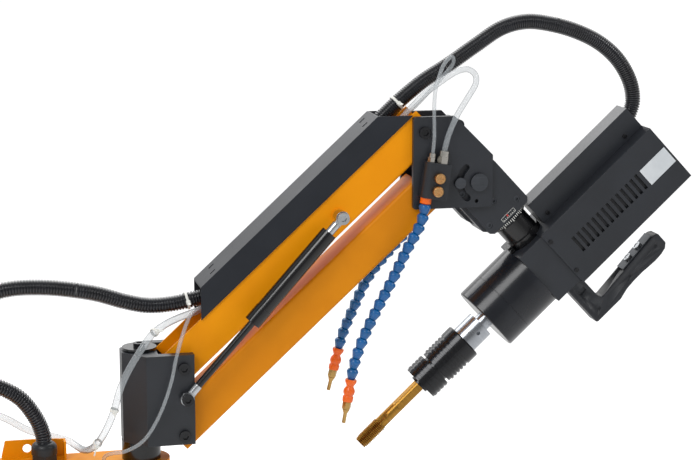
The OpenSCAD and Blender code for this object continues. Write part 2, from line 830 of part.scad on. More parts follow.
module rear_outlet() {
    at = [rear_block[0], plate_out, rear_block[1]];
    color(black) wrist_frame() translate(at) difference() {
        translate([-rear_block_w / 2, 0, -10]) cube([rear_block_w, rear_block_d, rear_block_w]);
        translate([-rear_block[0], 0, -pivot_gap - rear_block[1]]) ycyl(head_r + 3, -eps, head_t + 1);
    }
}

// Orange collar with the ball that carries a coolant hose, its mouth at z = 0
module outlet_stub() {
    difference() {
        union() {
            translate([0, 0, 1.2]) cylinder(r = outlet_r, h = outlet_len - 1.2);
            translate([0, 0, -ball_drop]) sphere(r = ball_r);
            translate([0, 0, -ball_drop]) cylinder(r = neck_r, h = ball_drop + 1.6);
        }
        translate([0, 0, -12]) cylinder(r = link_bore_r, h = 12 + outlet_len - 2);
    }
}

module hose_outlets() {
    color(nozzle_orange) {
        valve_frame() translate([outlet_x, -valve_d / 2, -valve_h / 2 - outlet_len]) outlet_stub();
        translate(rear_start) outlet_stub();
    }
}

module valve_knob(z) {
    color(knob_brass) valve_frame() translate([knob_x, 0, z]) {
        ycyl(knob_r, -valve_d - gap - knob_len, -valve_d - gap);
        ycyl(knob_stem_r, -valve_d - gap - 1, -valve_d + 7);
    }
}

module valve_knob_upper() {
    valve_knob(knob_z[0]);
}

module valve_knob_lower() {
    valve_knob(knob_z[1]);
}

// ---------------------------------------------------------------- coolant hoses

// One hose link hanging from its own socket mouth at z = 0
module hose_link(last) {
    top = 6.2;
    wide = link_d / 2;
    difference() {
        union() {
            rotate_extrude() polygon([[0, 0], [top, 0], [wide - 0.4, -2.4], [wide, -3.6],
                [wide, -4.8], [wide - 0.7, -6], [neck_r + 0.9, -link_pitch + 0.6],
                [neck_r, -link_pitch + 0.2], [0, -link_pitch + 0.2]]);
            if (!last) {
                translate([0, 0, -link_pitch - ball_drop]) cylinder(r = neck_r, h = ball_drop + 1);
                translate([0, 0, -link_pitch - ball_drop]) sphere(r = ball_r);
            }
        }
        translate([0, 0, -ball_drop]) sphere(r = ball_r + ball_gap);
        translate([0, 0, -ball_drop]) cylinder(r = neck_r + 0.75, h = ball_drop + 1);
        translate([0, 0, -link_pitch * 2]) cylinder(r = link_bore_r, h = link_pitch * 2);
    }
}

// Point where link i of a hose starts, stepping down the list of angles
function hose_point(from, bends, i) = i == 0 ? from :
    hose_point(from, bends, i - 1)
        - link_pitch * [sin(bends[i - 1]), 0, cos(bends[i - 1])];

module hose(from, bends) {
    n = len(bends);
    color(blue) for (i = [0 : n - 1])
        translate(hose_point(from, bends, i)) rotate([0, bends[i], 0])
            hose_link(i == n - 1);
    translate(hose_point(from, bends, n)) rotate([0, bends[n - 1], 0]) nozzle();
}

nozzle_len = 31;
tip_hex_len = 14;
tip_len = 30;

// Orange nozzle body with a brass tip, hanging from z = 0
module nozzle() {
    color(nozzle_orange) difference() {
        rotate_extrude() polygon([[0, 0.2], [7.7, 0.2], [8, -3], [4.9, -9.5], [7.2, -13.5], [7.9, -17.5],
            [6.8, -21.5], [6.2, -23], [7.4, -24.5], [7, -nozzle_len], [0, -nozzle_len]]);
        translate([0, 0, -nozzle_len - 1]) cylinder(r = 2, h = nozzle_len + 3);
    }
    color(brass) translate([0, 0, -nozzle_len]) difference() {
        union() {
            translate([0, 0, -tip_hex_len]) cylinder(r = 6, h = tip_hex_len, $fn = 6);
            translate([0, 0, -tip_len]) cylinder(r = 2.6, h = tip_len - tip_hex_len + 1);
        }
        translate([0, 0, -tip_len - 1]) cylinder(r = 1.6, h = tip_len + 2);
    }
}

// Both hoses start at the mouth of their outlet
front_outlet = Qu + [valve_at[0], 0, valve_at[1]]
    + [outlet_x * cos(valve_lean) - (valve_h / 2 + outlet_len) * sin(valve_lean), 0,
        -outlet_x * sin(valve_lean) - (valve_h / 2 + outlet_len) * cos(valve_lean)]
    - [0, plate_out + valve_d / 2, 0];
rear_start = Qu + [rear_block[0], plate_out + rear_block_d / 2 + 1,
    rear_block[1] - 10 - outlet_len];

// Start of a hose, turned about the ball of its outlet
function hose_start(mouth, lean, bend) = mouth - ball_drop * [sin(lean), 0, cos(lean)]
    + ball_drop * [sin(bend), 0, cos(bend)];

module front_hose() {
    hose(hose_start(front_outlet, valve_lean, front_bends[0]), front_bends);
}

module rear_hose() {
    hose(hose_start(rear_start, 0, rear_bends[0]), rear_bends);
}

// ---------------------------------------------------------------- knuckle

screw_spots = [[36.9, -2], [58, 23.3], [57.8, -28.5], [-1.1, -27.1]];
index_u = 63.6;                     // index window beside the graduated ring
index_w = 5;
index_half = 11.3;
module knuckle_block() {
    h = knuckle_half;
    c = 5;
    color(black) head_frame() difference() {
        union() {
            ycyl(knuckle_r, -h, h);
            plate_xz(-h, h) polygon([[0, -knuckle_r], [knuckle_len - c, -knuckle_r],
                [knuckle_len, -knuckle_r + c], [knuckle_len, knuckle_r - c],
                [knuckle_len - c, knuckle_r], [0, knuckle_r]]);
            plate_xz(-h + 6, h) polygon([[9, -knuckle_r - pad_t[0]],
                [knuckle_len - 12, -knuckle_r - pad_t[0]], [knuckle_len - 6, -knuckle_r + 1],
                [9, -knuckle_r + 1]]);
            plate_xz(0, h) polygon([[9, -knuckle_r - pad_t[1]], [40, -knuckle_r - pad_t[1]],
                [54, -knuckle_r - pad_t[0] + 1], [9, -knuckle_r - pad_t[0] + 1]]);
        }
        ycyl(tilt_pin_r + run, -h - eps, h + eps);
        xcyl(spigot_r + run, 31, knuckle_len + eps);
        translate([lock_u, 0, lock_v]) ycyl(lock_r, -h - eps, -h + 12);
        for (p = screw_spots) translate([p[0], 0, p[1]]) ycyl(4.4, -h - eps, -h + 5);
        translate([index_u, -h - eps, -index_half]) cube([index_w, 1 + eps, 2 * index_half]);
    }
}

module lock_pin() {
    h = knuckle_half;
    color(dark_steel) head_frame() {
        translate([lock_u, 0, lock_v]) {
            ycyl(lock_r, -plate_out - gap - 1, -h + 12);
            ycyl(lock_head_r, -plate_out - gap - 4.5, -plate_out - gap);
        }
        for (p = screw_spots) translate([p[0], -h + 5, p[1]]) difference() {
            ycyl(4.4, -4, 0);
            translate([0, -4 - eps, 0]) rotate([-90, 0, 0]) cylinder(r = 2.4, h = 2 + eps, $fn = 6);
        }
    }
}

// ---------------------------------------------------------------- head

module tick_ring() {
    color(black) head_frame() difference() {
        union() {
            xcyl(ring_d / 2, barrel_start, barrel_start + ring_t - 1.5);
            translate([barrel_start + ring_t - 1.5, 0, 0]) rotate([0, 90, 0])
                cylinder(r1 = ring_d / 2, r2 = ring_d / 2 - 1.5, h = 1.5);
        }
        xcyl(spigot_r, barrel_start - eps, barrel_start + ring_t + eps);
    }
}

module rotary_barrel() {
    color(gloss) head_frame() {
        xcyl(barrel_r, barrel_start + ring_t, housing_top_u);
        xcyl(spigot_r, 32, barrel_start + ring_t + 1);
    }
    // Clamp collar with its lug and screw
    color(black) head_frame() difference() {
        union() {
            xcyl(barrel_r + 3, housing_top_u - 10, housing_top_u);
            translate([housing_top_u - 10, -12, -barrel_r - 6.6]) cube([10, 12, 9.6]);
        }
        xcyl(barrel_r, housing_top_u - 11, housing_top_u + eps);
        translate([housing_top_u - 5, 0, -barrel_r - 3.6]) ycyl(2.5, -13, 1);
    }
    color(dark_steel) head_frame() translate([housing_top_u - 5, -12, -barrel_r - 3.6])
        socket_screw(3.2, 4, 2.5, 12);
}

module gear_housing() {
    color(black) head_frame() difference() {
        translate([housing_top_u, -housing_half, housing_v[0]])
            cube([housing_bottom_u - housing_top_u, 2 * housing_half, housing_v[1] - housing_v[0]]);
        translate([spindle_u, 0, housing_v[0] - eps])
            cylinder(r = 30, h = housing_v[1] - housing_v[0] - 8);
        translate([spindle_u, 0, housing_v[1] - 9]) cylinder(r = nub_r + run, h = 10);
    }
}

module gearbox() {
    r = gearbox_d / 2;
    c = 1.5;
    color(gloss) spindle_frame() {
        difference() {
            translate([0, 0, seam_v + 1]) cylinder(r = r, h = housing_v[0] - seam_v - 1);
            translate([0, 0, seam_v]) cylinder(r = 40, h = 48);
            translate([0, 0, seam_v]) cylinder(r = 12 + run, h = 60);
        }
        difference() {
            union() {
                translate([0, 0, gearbox_v + c]) cylinder(r = r, h = seam_v - gearbox_v - c);
                translate([0, 0, gearbox_v]) cylinder(r1 = r - c, r2 = r, h = c);
                translate([0, 0, seam_v]) cylinder(r = seam_r, h = 1);
            }
            translate([0, 0, gearbox_v - eps]) cylinder(r = 12 + run, h = 60);
        }
    }
}

motor_side = 80;
nub_r = 9;
motor_v = [34, 178];
module servo_motor() {
    color(dark_steel) spindle_frame() {
        translate([-motor_side / 2, -motor_side / 2, motor_v[0]])
            cube([motor_side, motor_side, motor_v[1] - motor_v[0]]);
        translate([0, 0, motor_v[0] - 8]) cylinder(r = nub_r, h = 8);
    }
}

vents = 14;
vent_pitch = 9.3;
vent_w = 4.6;
vent_len = 26.7;
vent_v = 39.6;
module motor_cover() {
    h = case_half;
    v1 = case_v + motor_len;
    color(black) spindle_frame() difference() {
        translate([-h, -motor_w / 2, case_v]) cube([2 * h, motor_w, motor_len]);
        translate([-h + sheet, -motor_w / 2 + sheet, case_v - eps])
            cube([2 * h - 2 * sheet, motor_w - 2 * sheet, motor_len - sheet + eps]);
        // Notch for the turning barrel
        translate([-h - eps, 0, 0]) xcyl(barrel_r + 3 + gap, 0, sheet + 2 * eps);
        for (i = [0 : vents - 1]) for (s = [-1, 1])
            translate([-13, s > 0 ? motor_w / 2 - 2 : -motor_w / 2 - 2, vent_v + i * vent_pitch])
                cube([vent_len, 4, vent_w]);
        // Way through to the wiring cover
        translate([-h - eps, -8, 150]) cube([sheet + 2 * eps, 16, 40]);
    }
}

module wiring_cover() {
    w = wiring_half;
    lo = wiring_u[0];
    hi = wiring_u[1];
    color(black) head_frame() difference() {
        translate([lo, -w, wiring_v[0]]) cube([hi - lo, 2 * w, wiring_v[1] - wiring_v[0]]);
        translate([lo + sheet, -w + sheet, wiring_v[0] + sheet])
            cube([hi - lo, 2 * w - 2 * sheet, wiring_v[1] - wiring_v[0] - 2 * sheet]);
        // Slot where the conduit comes in
        translate([lo + 3, -conduit_d / 2 - gap, wiring_v[1] - 3])
            cube([hi - lo - 3, conduit_d + 2 * gap, 6]);
    }
}

// Small screws on the covers: position across, position up the head, face
cover_screws = [[spindle_u - 30.3, 15.5], [spindle_u + 25.4, 15.5]];
wiring_screws = [[spindle_u - 54, 43], [spindle_u - 54, 192.5]];
module panel_screws() {
    color(steel) head_frame() for (s = [-1, 1]) scale([1, s, 1]) {
        for (p = cover_screws) translate([p[0], -motor_w / 2, p[1]]) ycyl(3, -1.6, 0);
        for (p = wiring_screws) translate([p[0], -wiring_half, p[1]]) ycyl(3, -1.6, 0);
    }
}

label_len = 47;
label_w = 27;
label_v = 171;
module label_plate() {
    color(clear_grey) spindle_frame() translate([-12.5, -motor_w / 2 - 0.6, label_v])
        cube([label_w, 0.6, label_len]);
}

// Grip frame: z along the grip's inner face, x into the grip
module grip_frame() {
    head_frame() translate([grip_at[0], 0, grip_at[1]]) rotate([0, -grip_lean, 0]) children();
}

function inner_u(v) = grip_at[0] - (v - grip_at[1]) * tan(grip_lean);
function wave_v(share) = leg_v[1] + share * (grip_end - leg_v[1]);

module handle() {
    root = housing_bottom_u;
    clear_u = spindle_u + case_half + gap;
    clear_v = case_v - gap;
    color(black) difference() {
        head_frame() union() {
            plate_xz(-handle_half, handle_half) polygon(concat(
                [[root, leg_v[0]], [handle_out - 2, leg_v[0]], [handle_out, leg_v[0] + 2]],
                [for (w = grip_waves) [handle_out - w[1], wave_v(w[0])]],
                [[handle_out - 13, grip_end], [inner_u(grip_end) + 4, grip_end],
                    [inner_u(grip_end - 6), grip_end - 6], grip_at,
                    [grip_at[0] - 2, leg_v[1] + 1.2], [grip_at[0] - 6, leg_v[1]],
                    [clear_u, leg_v[1]], [clear_u, clear_v], [root, clear_v]]));
            translate([root, -handle_half - 3, leg_v[0] - 3])
                cube([4, 2 * handle_half + 6, 17]);
        }
        for (z = button_at) grip_frame() translate([0, 0, z]) xcyl(button_r + run, -eps, 9);
        head_frame() for (s = [-1, 1]) scale([1, s, 1]) {
            translate([spindle_u + window_u[0], -handle_half - eps, window_v[0]])
                cube([window_u[1] - window_u[0], 2 + eps, window_v[1] - window_v[0]]);
            for (p = handle_screws) translate([spindle_u + p[0], 0, p[1]])
                ycyl(2.4, -handle_half - eps, -handle_half + 1.5);
        }
    }
}

module handle_plate() {
    color(dark_steel) grip_frame() difference() {
        translate([-plate_thick, -handle_half + 2, plate_span[0]])
            cube([plate_thick, 2 * handle_half - 4, plate_span[1] - plate_span[0]]);
        for (z = button_at) translate([0, 0, z])
            xcyl(button_r + run, -plate_thick - eps, eps);
    }
}

module button(z) {
    color(steel) grip_frame() translate([0, 0, z]) difference() {
        xcyl(button_r, -plate_thick - button_out, 6);
        xcyl(button_r - 2, -plate_thick - button_out - eps, -plate_thick - button_out + 0.6);
    }
}

module start_button() {
    button(button_at[0]);
}

module reverse_button() {
    button(button_at[1]);
}

// ---------------------------------------------------------------- spindle

module spindle() {
    color(steel) spindle_frame() difference() {
        union() {
            translate([0, 0, chuck_v]) cylinder(d = spindle_d, h = spindle_len);
            translate([0, 0, gearbox_v - neck_len]) cylinder(r = 12, h = neck_len + 70);
            translate([0, 0, chuck_v - chuck_len + 8]) cylinder(r = 12, h = chuck_len - 2);
        }
        translate([0, 0, chuck_v + 20]) ycyl(2.6, -spindle_d / 2 - eps, -spindle_d / 2 + 6);
    }
}

ridges = 5;
module chuck_body() {
    r = chuck_d / 2;
    body = chuck_len - sleeve_len - sleeve_gap;
    color(gloss) spindle_frame() difference() {
        union() {
            translate([0, 0, chuck_v - body]) cylinder(r = r - 1.6, h = body);
            translate([0, 0, chuck_v - 18]) cylinder(r = r, h = 16.5);
            translate([0, 0, chuck_v - 1.5]) cylinder(r1 = r, r2 = r - 1.5, h = 1.5);
            for (i = [0 : ridges - 1]) translate([0, 0, chuck_v - 25 - i * 6])
                cylinder(r = r, h = 3.6);
            translate([0, 0, chuck_v - chuck_len + 1]) cylinder(r = core_r, h = 60);
            translate([0, 0, chuck_v - chuck_len - 3]) cylinder(r = 13.5, h = 6);
        }
        translate([0, 0, chuck_v - chuck_len + 8]) cylinder(r = 12, h = chuck_len);
        translate([0, 0, chuck_v - chuck_len - 4]) cylinder(r = shank_r, h = 11);
    }
}

module chuck_sleeve() {
    r = chuck_d / 2;
    color(gloss) spindle_frame() translate([0, 0, chuck_v - chuck_len]) difference() {
        union() {
            cylinder(r = r - 1, h = sleeve_len);
            for (i = [0 : 3]) translate([0, 0, 3 + i * 6.4]) cylinder(r = r, h = 4.4);
        }
        translate([0, 0, -eps]) cylinder(r = core_r + run, h = sleeve_len + 2 * eps);
    }
}

shank_r = tap_d * 0.415;
thread_len = 40;
module tap() {
    tip = chuck_v - chuck_len - 3 - tap_len;
    turns = floor(thread_len / tap_pitch);
    major = tap_d / 2 + 0.2;
    minor = tap_d / 2 - 1.2;
    color(gold) spindle_frame() difference() {
        union() {
            translate([0, 0, tip + 2]) cylinder(r = shank_r, h = tap_len + 8);
            rotate_extrude() polygon(concat([[0, tip], [minor - 0.6, tip]],
                [for (i = [0 : turns - 1], k = [0, 1])
                    [(k == 0 ? minor : major) - (i < 3 ? 0.5 * (3 - i) / 3 : 0),
                        tip + (i + 0.25 + k * 0.5) * tap_pitch]],
                [[shank_r, tip + thread_len + 1], [0, tip + thread_len + 1]]));
        }
        for (a = [20 : 90 : 290]) rotate([0, 0, a]) translate([tap_d / 2 + 1, 0, tip - 1])
            cylinder(r = 4.2, h = thread_len + 14);
        for (a = [0 : 90 : 270]) rotate([0, 0, a + 8])
            translate([shank_r * 0.84, -12, tip + tap_len - 40]) cube([12, 24, 36]);
    }
}

// ---------------------------------------------------------------- hoses and tubes

function unit(v) = v / norm(v);
function catmull(a, b, c, d, t) = 0.5 * ((2 * b) + (c - a) * t
    + (2 * a - 5 * b + 4 * c - d) * t * t + (3 * b - a - 3 * c + d) * t * t * t);
function dense(p, n) = [for (i = [0 : len(p) - 2], k = [0 : n - 1])
    catmull(p[max(i - 1, 0)], p[i], p[i + 1], p[min(i + 2, len(p) - 1)], k / n),
    p[len(p) - 1]];
function lengths(q) = [for (i = 0, s = 0; i < len(q);
    s = s + (i < len(q) - 1 ? norm(q[i + 1] - q[i]) : 0), i = i + 1) s];
// A route as three tables of coordinate against length, and its whole length
function route(p) = let (q = dense(p, 10), s = lengths(q))
    [for (k = [0 : 2]) [for (i = [0 : len(q) - 1]) [s[i], q[i][k]]], s[len(s) - 1]];
function at(r, s) = [lookup(s, r[0]), lookup(s, r[1]), lookup(s, r[2])];
function total(r) = r[3];
function heading(r, s) = unit(at(r, min(s + 1, total(r))) - at(r, max(s - 1, 0)));
function ring_points(r, s, radius, sides) =
    let (c = at(r, s), t = heading(r, s), a = unit(cross(t, [0, 1, 0])), b = cross(t, a))
    [for (k = [0 : sides - 1]) c + radius * (cos(360 * k / sides) * a + sin(360 * k / sides) * b)];

// Skin between two rings of the same count: j0 and j1 are their first points
function skin(j0, j1, n) = [for (k = [0 : n - 1]) each let (m = (k + 1) % n)
    [[j0 + k, j1 + k, j1 + m], [j0 + k, j1 + m, j0 + m]]];

// Plain tube along a route from length s0 to s1
module tube(r, s0, s1, d, step) {
    n = 8;
    count = max(1, round((s1 - s0) / step));
    points = [for (i = [0 : count]) each ring_points(r, s0 + (s1 - s0) * i / count, d / 2, n)];
    sides = [for (i = [0 : count - 1]) each skin(i * n, (i + 1) * n, n)];
    ends = [[for (k = [0 : n - 1]) k], [for (k = [n - 1 : -1 : 0]) count * n + k]];
    polyhedron(points = points, faces = concat(sides, ends));
}

// Ribbed hose with its bore along a route, from rib i0 to rib i1
module ribbed(r, i0, i1, pitch) {
    n = 8;
    valley = conduit_d / 2 - 1.5;
    every = 6;
    steps = 2 * (i1 - i0);
    outer = [for (j = [0 : steps]) each ring_points(r, (i0 + j / 2) * pitch,
        j % 2 == 0 ? valley : conduit_d / 2, n)];
    cuts = ceil(steps / every);
    inner = [for (j = [0 : cuts]) each ring_points(r,
        (i0 + min(j * every, steps) / 2) * pitch, conduit_bore / 2, n)];
    o_end = steps * n;
    i_first = (steps + 1) * n;
    i_end = i_first + cuts * n;
    faces = concat(
        [for (j = [0 : steps - 1]) each skin(j * n, (j + 1) * n, n)],
        [for (j = [0 : cuts - 1]) each flip(skin(i_first + j * n, i_first + (j + 1) * n, n))],
        flip(skin(0, i_first, n)), skin(o_end, i_end, n));
    polyhedron(points = concat(outer, inner), faces = faces);
}
function flip(f) = [for (t = f) [t[2], t[1], t[0]]];

arch_route = route(arch_path);
loop_route = route(loop_path);
arch_pitch = total(arch_route) / round(total(arch_route) / rib_pitch);
loop_pitch = total(loop_route) / round(total(loop_route) / rib_pitch);
function rib_at(r, pitch, s) = round(min(s, total(r)) / pitch);

module arch_stretch(k) {
    color(black) ribbed(arch_route, rib_at(arch_route, arch_pitch, arch_cuts[k]),
        rib_at(arch_route, arch_pitch, arch_cuts[k + 1]), arch_pitch);
}

module arch_hose_lower() {
    arch_stretch(0);
}

module arch_hose_middle() {
    arch_stretch(1);
}

module arch_hose_upper() {
    arch_stretch(2);
}

module loop_stretch(k) {
    color(black) ribbed(loop_route, rib_at(loop_route, loop_pitch, loop_cuts[k]),
        rib_at(loop_route, loop_pitch, loop_cuts[k + 1]), loop_pitch);
}

module loop_hose_upper() {
    loop_stretch(0);
}

module loop_hose_lower() {
    loop_stretch(1);
}

thin_route = route(thin_feed);
thick_route = route(thick_feed);
bundle_route = route(bundle_path);
single_route = route(single_path);

// A tie round a line of diameter d, at a length along its route
module tie(r, s, d) {
    t = heading(r, s);
    translate(at(r, s)) rotate([0, acos(t[2]), atan2(t[1], t[0])]) difference() {
        translate([0, 0, -tie_d / 2]) cylinder(r = d / 2 + 1.5, h = tie_d);
        translate([0, 0, -tie_d]) cylinder(r = d / 2 + gap, h = 2 * tie_d);
    }
}

module head_tubes() {
    color(clear_grey) {
        tube(thin_route, 0, total(thin_route), thin_tube, 16);
        tube(thick_route, 0, total(thick_route), thick_tube, 22);
    }
}

module rear_tubes_upper() {
    color(clear_grey) {
        tube(bundle_route, 0, bundle_cut, bundle_tube, 25);
        tube(single_route, 0, single_cut, thin_tube, 18);
    }
    color(white) tie(bundle_route, bundle_ties[0], bundle_tube);
}

module rear_tubes_lower() {
    color(clear_grey) {
        tube(bundle_route, bundle_cut, total(bundle_route), bundle_tube, 25);
        tube(single_route, single_cut, total(single_route), thin_tube, 18);
    }
    color(white) for (k = [1, 2]) tie(bundle_route, bundle_ties[k], bundle_tube);
}

module cable_ties() {
    color(white) {
        tie(arch_route, arch_tie, conduit_d);
        tie(loop_route, loop_tie, conduit_d);
    }
}

base_plate();
column();
column_shaft();
first_arm();
hub_bearings();
post();
swivel_cap();
cable_gland();
cable_bracket();
swivel_bracket();
swivel_bushes();
shoulder_pins();
upper_beam();
beam_cover();
lower_beam();
strut_rod();
strut_lower_eye();
strut_barrel();
strut_upper_eye();
front_head_plate();
rear_head_plate();
plate_spacers();
wrist_pins();
tilt_pin();
valve_block();
tube_fittings();
rear_outlet();
hose_outlets();
valve_knob_upper();
valve_knob_lower();
front_hose();
rear_hose();
knuckle_block();
lock_pin();
tick_ring();
rotary_barrel();
gear_housing();
gearbox();
servo_motor();
motor_cover();
wiring_cover();
panel_screws();
label_plate();
handle();
handle_plate();
start_button();
reverse_button();
spindle();
chuck_body();
chuck_sleeve();
tap();
arch_hose_lower();
arch_hose_middle();
arch_hose_upper();
loop_hose_upper();
loop_hose_lower();
head_tubes();
rear_tubes_upper();
rear_tubes_lower();
cable_ties();
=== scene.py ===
"""Arm tapping machine: finishes, hoses, small pieces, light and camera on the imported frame."""

import json
import logging
import math
from dataclasses import dataclass, field
from enum import Enum
from typing import Any, Callable, Sequence

import bmesh
import bpy
from mathutils import Matrix, Vector

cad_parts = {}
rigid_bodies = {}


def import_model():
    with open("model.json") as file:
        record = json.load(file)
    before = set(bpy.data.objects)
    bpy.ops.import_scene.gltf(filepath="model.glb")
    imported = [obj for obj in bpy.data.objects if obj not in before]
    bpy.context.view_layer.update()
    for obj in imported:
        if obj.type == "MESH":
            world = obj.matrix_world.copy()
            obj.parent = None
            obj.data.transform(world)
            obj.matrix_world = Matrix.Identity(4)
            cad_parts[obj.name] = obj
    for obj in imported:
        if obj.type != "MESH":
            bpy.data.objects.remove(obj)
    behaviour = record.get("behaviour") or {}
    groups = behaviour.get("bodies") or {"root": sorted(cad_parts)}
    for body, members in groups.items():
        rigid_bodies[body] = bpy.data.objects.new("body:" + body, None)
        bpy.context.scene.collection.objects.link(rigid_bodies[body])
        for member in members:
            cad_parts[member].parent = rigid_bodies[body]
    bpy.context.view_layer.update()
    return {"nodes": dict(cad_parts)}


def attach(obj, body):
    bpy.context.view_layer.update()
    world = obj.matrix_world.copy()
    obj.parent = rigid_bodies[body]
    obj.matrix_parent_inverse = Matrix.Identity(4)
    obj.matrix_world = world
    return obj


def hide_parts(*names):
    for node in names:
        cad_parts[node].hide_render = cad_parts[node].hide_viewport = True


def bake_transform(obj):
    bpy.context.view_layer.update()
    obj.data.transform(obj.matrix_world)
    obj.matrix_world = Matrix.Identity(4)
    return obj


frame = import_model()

MM = 0.001
log = logging.getLogger("tapping_machine")

Point = tuple[float, float, float]


# ---------------------------------------------------------------- places


@dataclass(frozen=True)
class Layout:
    """Main places and directions of the machine at rest, in millimetres and degrees."""

    arm_deg: float = 42.5
    tilt_deg: float = 47.0
    link_len: float = 446.0
    lower_pivot: Vector = field(default_factory=lambda: Vector((503, 0, 560)))
    pivot_gap: float = 92.0
    tilt_offset: Vector = field(default_factory=lambda: Vector((75.7, 0, -69.1)))
    head_reach: float = 161.0
    plate_out: float = 35.6
    valve_at: Vector = field(default_factory=lambda: Vector((11.7, -35.6, -63.3)))
    valve_lean: float = 8.5

    @property
    def upper_pivot(self) -> Vector:
        """Upper shoulder pivot."""
        return self.lower_pivot + Vector((0, 0, self.pivot_gap))

    @property
    def wrist(self) -> Vector:
        """Upper wrist pivot, which the head bracket hangs from."""
        a = math.radians(self.arm_deg)
        return self.upper_pivot + self.link_len * Vector((math.cos(a), 0, math.sin(a)))

    @property
    def tilt_pin(self) -> Vector:
        """Tilt pin of the head."""
        return self.wrist + self.tilt_offset

    def beam(self, pivot: Vector) -> Matrix:
        """Frame of a beam: x along it from its shoulder pivot, z square to it.

        Args:
            pivot: The beam's shoulder pivot.

        Returns:
            The frame as a matrix, in millimetres.
        """
        return Matrix.Translation(pivot) @ Matrix.Rotation(-math.radians(self.arm_deg), 4, "Y")

    def head(self) -> Matrix:
        """Frame of the head: x along its turning axis from the tilt pin, z against the tap."""
        return Matrix.Translation(self.tilt_pin) @ Matrix.Rotation(math.radians(self.tilt_deg), 4, "Y")

    def spindle(self) -> Matrix:
        """Frame of the spindle: z along its axis, up towards the motor."""
        return self.head() @ Matrix.Translation((self.head_reach, 0, 0))

    def valve(self) -> Matrix:
        """Frame of the valve block, leaning with it, y = 0 on the front plate."""
        turn = Matrix.Rotation(math.radians(self.valve_lean), 4, "Y")
        return Matrix.Translation(self.wrist + self.valve_at) @ turn


PLACES = Layout()


# ---------------------------------------------------------------- shader building


class Value:
    """A shader socket that can be used in Python expressions."""

    def __init__(self, graph: "Graph", socket: Any) -> None:
        """Wraps an output socket of a graph."""
        self.graph = graph
        self.socket = socket

    def _math(self, operation: str, *terms: Any) -> "Value":
        """Adds a Math node on the terms, which are sockets or numbers."""
        node = self.graph.add("ShaderNodeMath", {"operation": operation}, dict(enumerate(terms)))
        return Value(self.graph, node.outputs[0])

    def __add__(self, other: Any) -> "Value":
        """Sum."""
        return self._math("ADD", self, other)

    __radd__ = __add__

    def __sub__(self, other: Any) -> "Value":
        """Difference."""
        return self._math("SUBTRACT", self, other)

    def __rsub__(self, other: Any) -> "Value":
        """Difference from a number."""
        return self._math("SUBTRACT", other, self)

    def __mul__(self, other: Any) -> "Value":
        """Product."""
        return self._math("MULTIPLY", self, other)

    __rmul__ = __mul__

    def clamp(self, low: float, high: float) -> "Value":
        """Limits the value to a range."""
        return self._math("MINIMUM", self._math("MAXIMUM", self, low), high)

    def smooth(self, low: float, high: float) -> "Value":
        """Goes smoothly from 0 at low to 1 at high."""
        node = self.graph.add(
            "ShaderNodeMapRange", {"interpolation_type": "SMOOTHSTEP"}, {0: self, 1: low, 2: high}
        )
        return Value(self.graph, node.outputs[0])


class Tree:
    """A node tree to which nodes are added with their sockets already filled."""

    def __init__(self, tree: Any) -> None:
        """Wraps a Blender node tree."""
        self.tree = tree

    def add(self, kind: str, settings: dict[str, Any], inputs: dict[Any, Any]) -> Any:
        """Adds a node, sets it up, then gives its sockets values or links.

        Args:
            kind: The node's type.
            settings: Attributes to set first, such as a Math node's operation.
            inputs: Socket name or index to a number, colour, Value or output socket.

        Returns:
            The node.
        """
        node = self.tree.nodes.new(kind)
        for name, setting in settings.items():
            setattr(node, name, setting)
        for name, given in inputs.items():
            given = given.socket if isinstance(given, Value) else given
            if isinstance(given, bpy.types.NodeSocket):
                self.tree.links.new(given, node.inputs[name])
            else:
                node.inputs[name].default_value = given
        return node


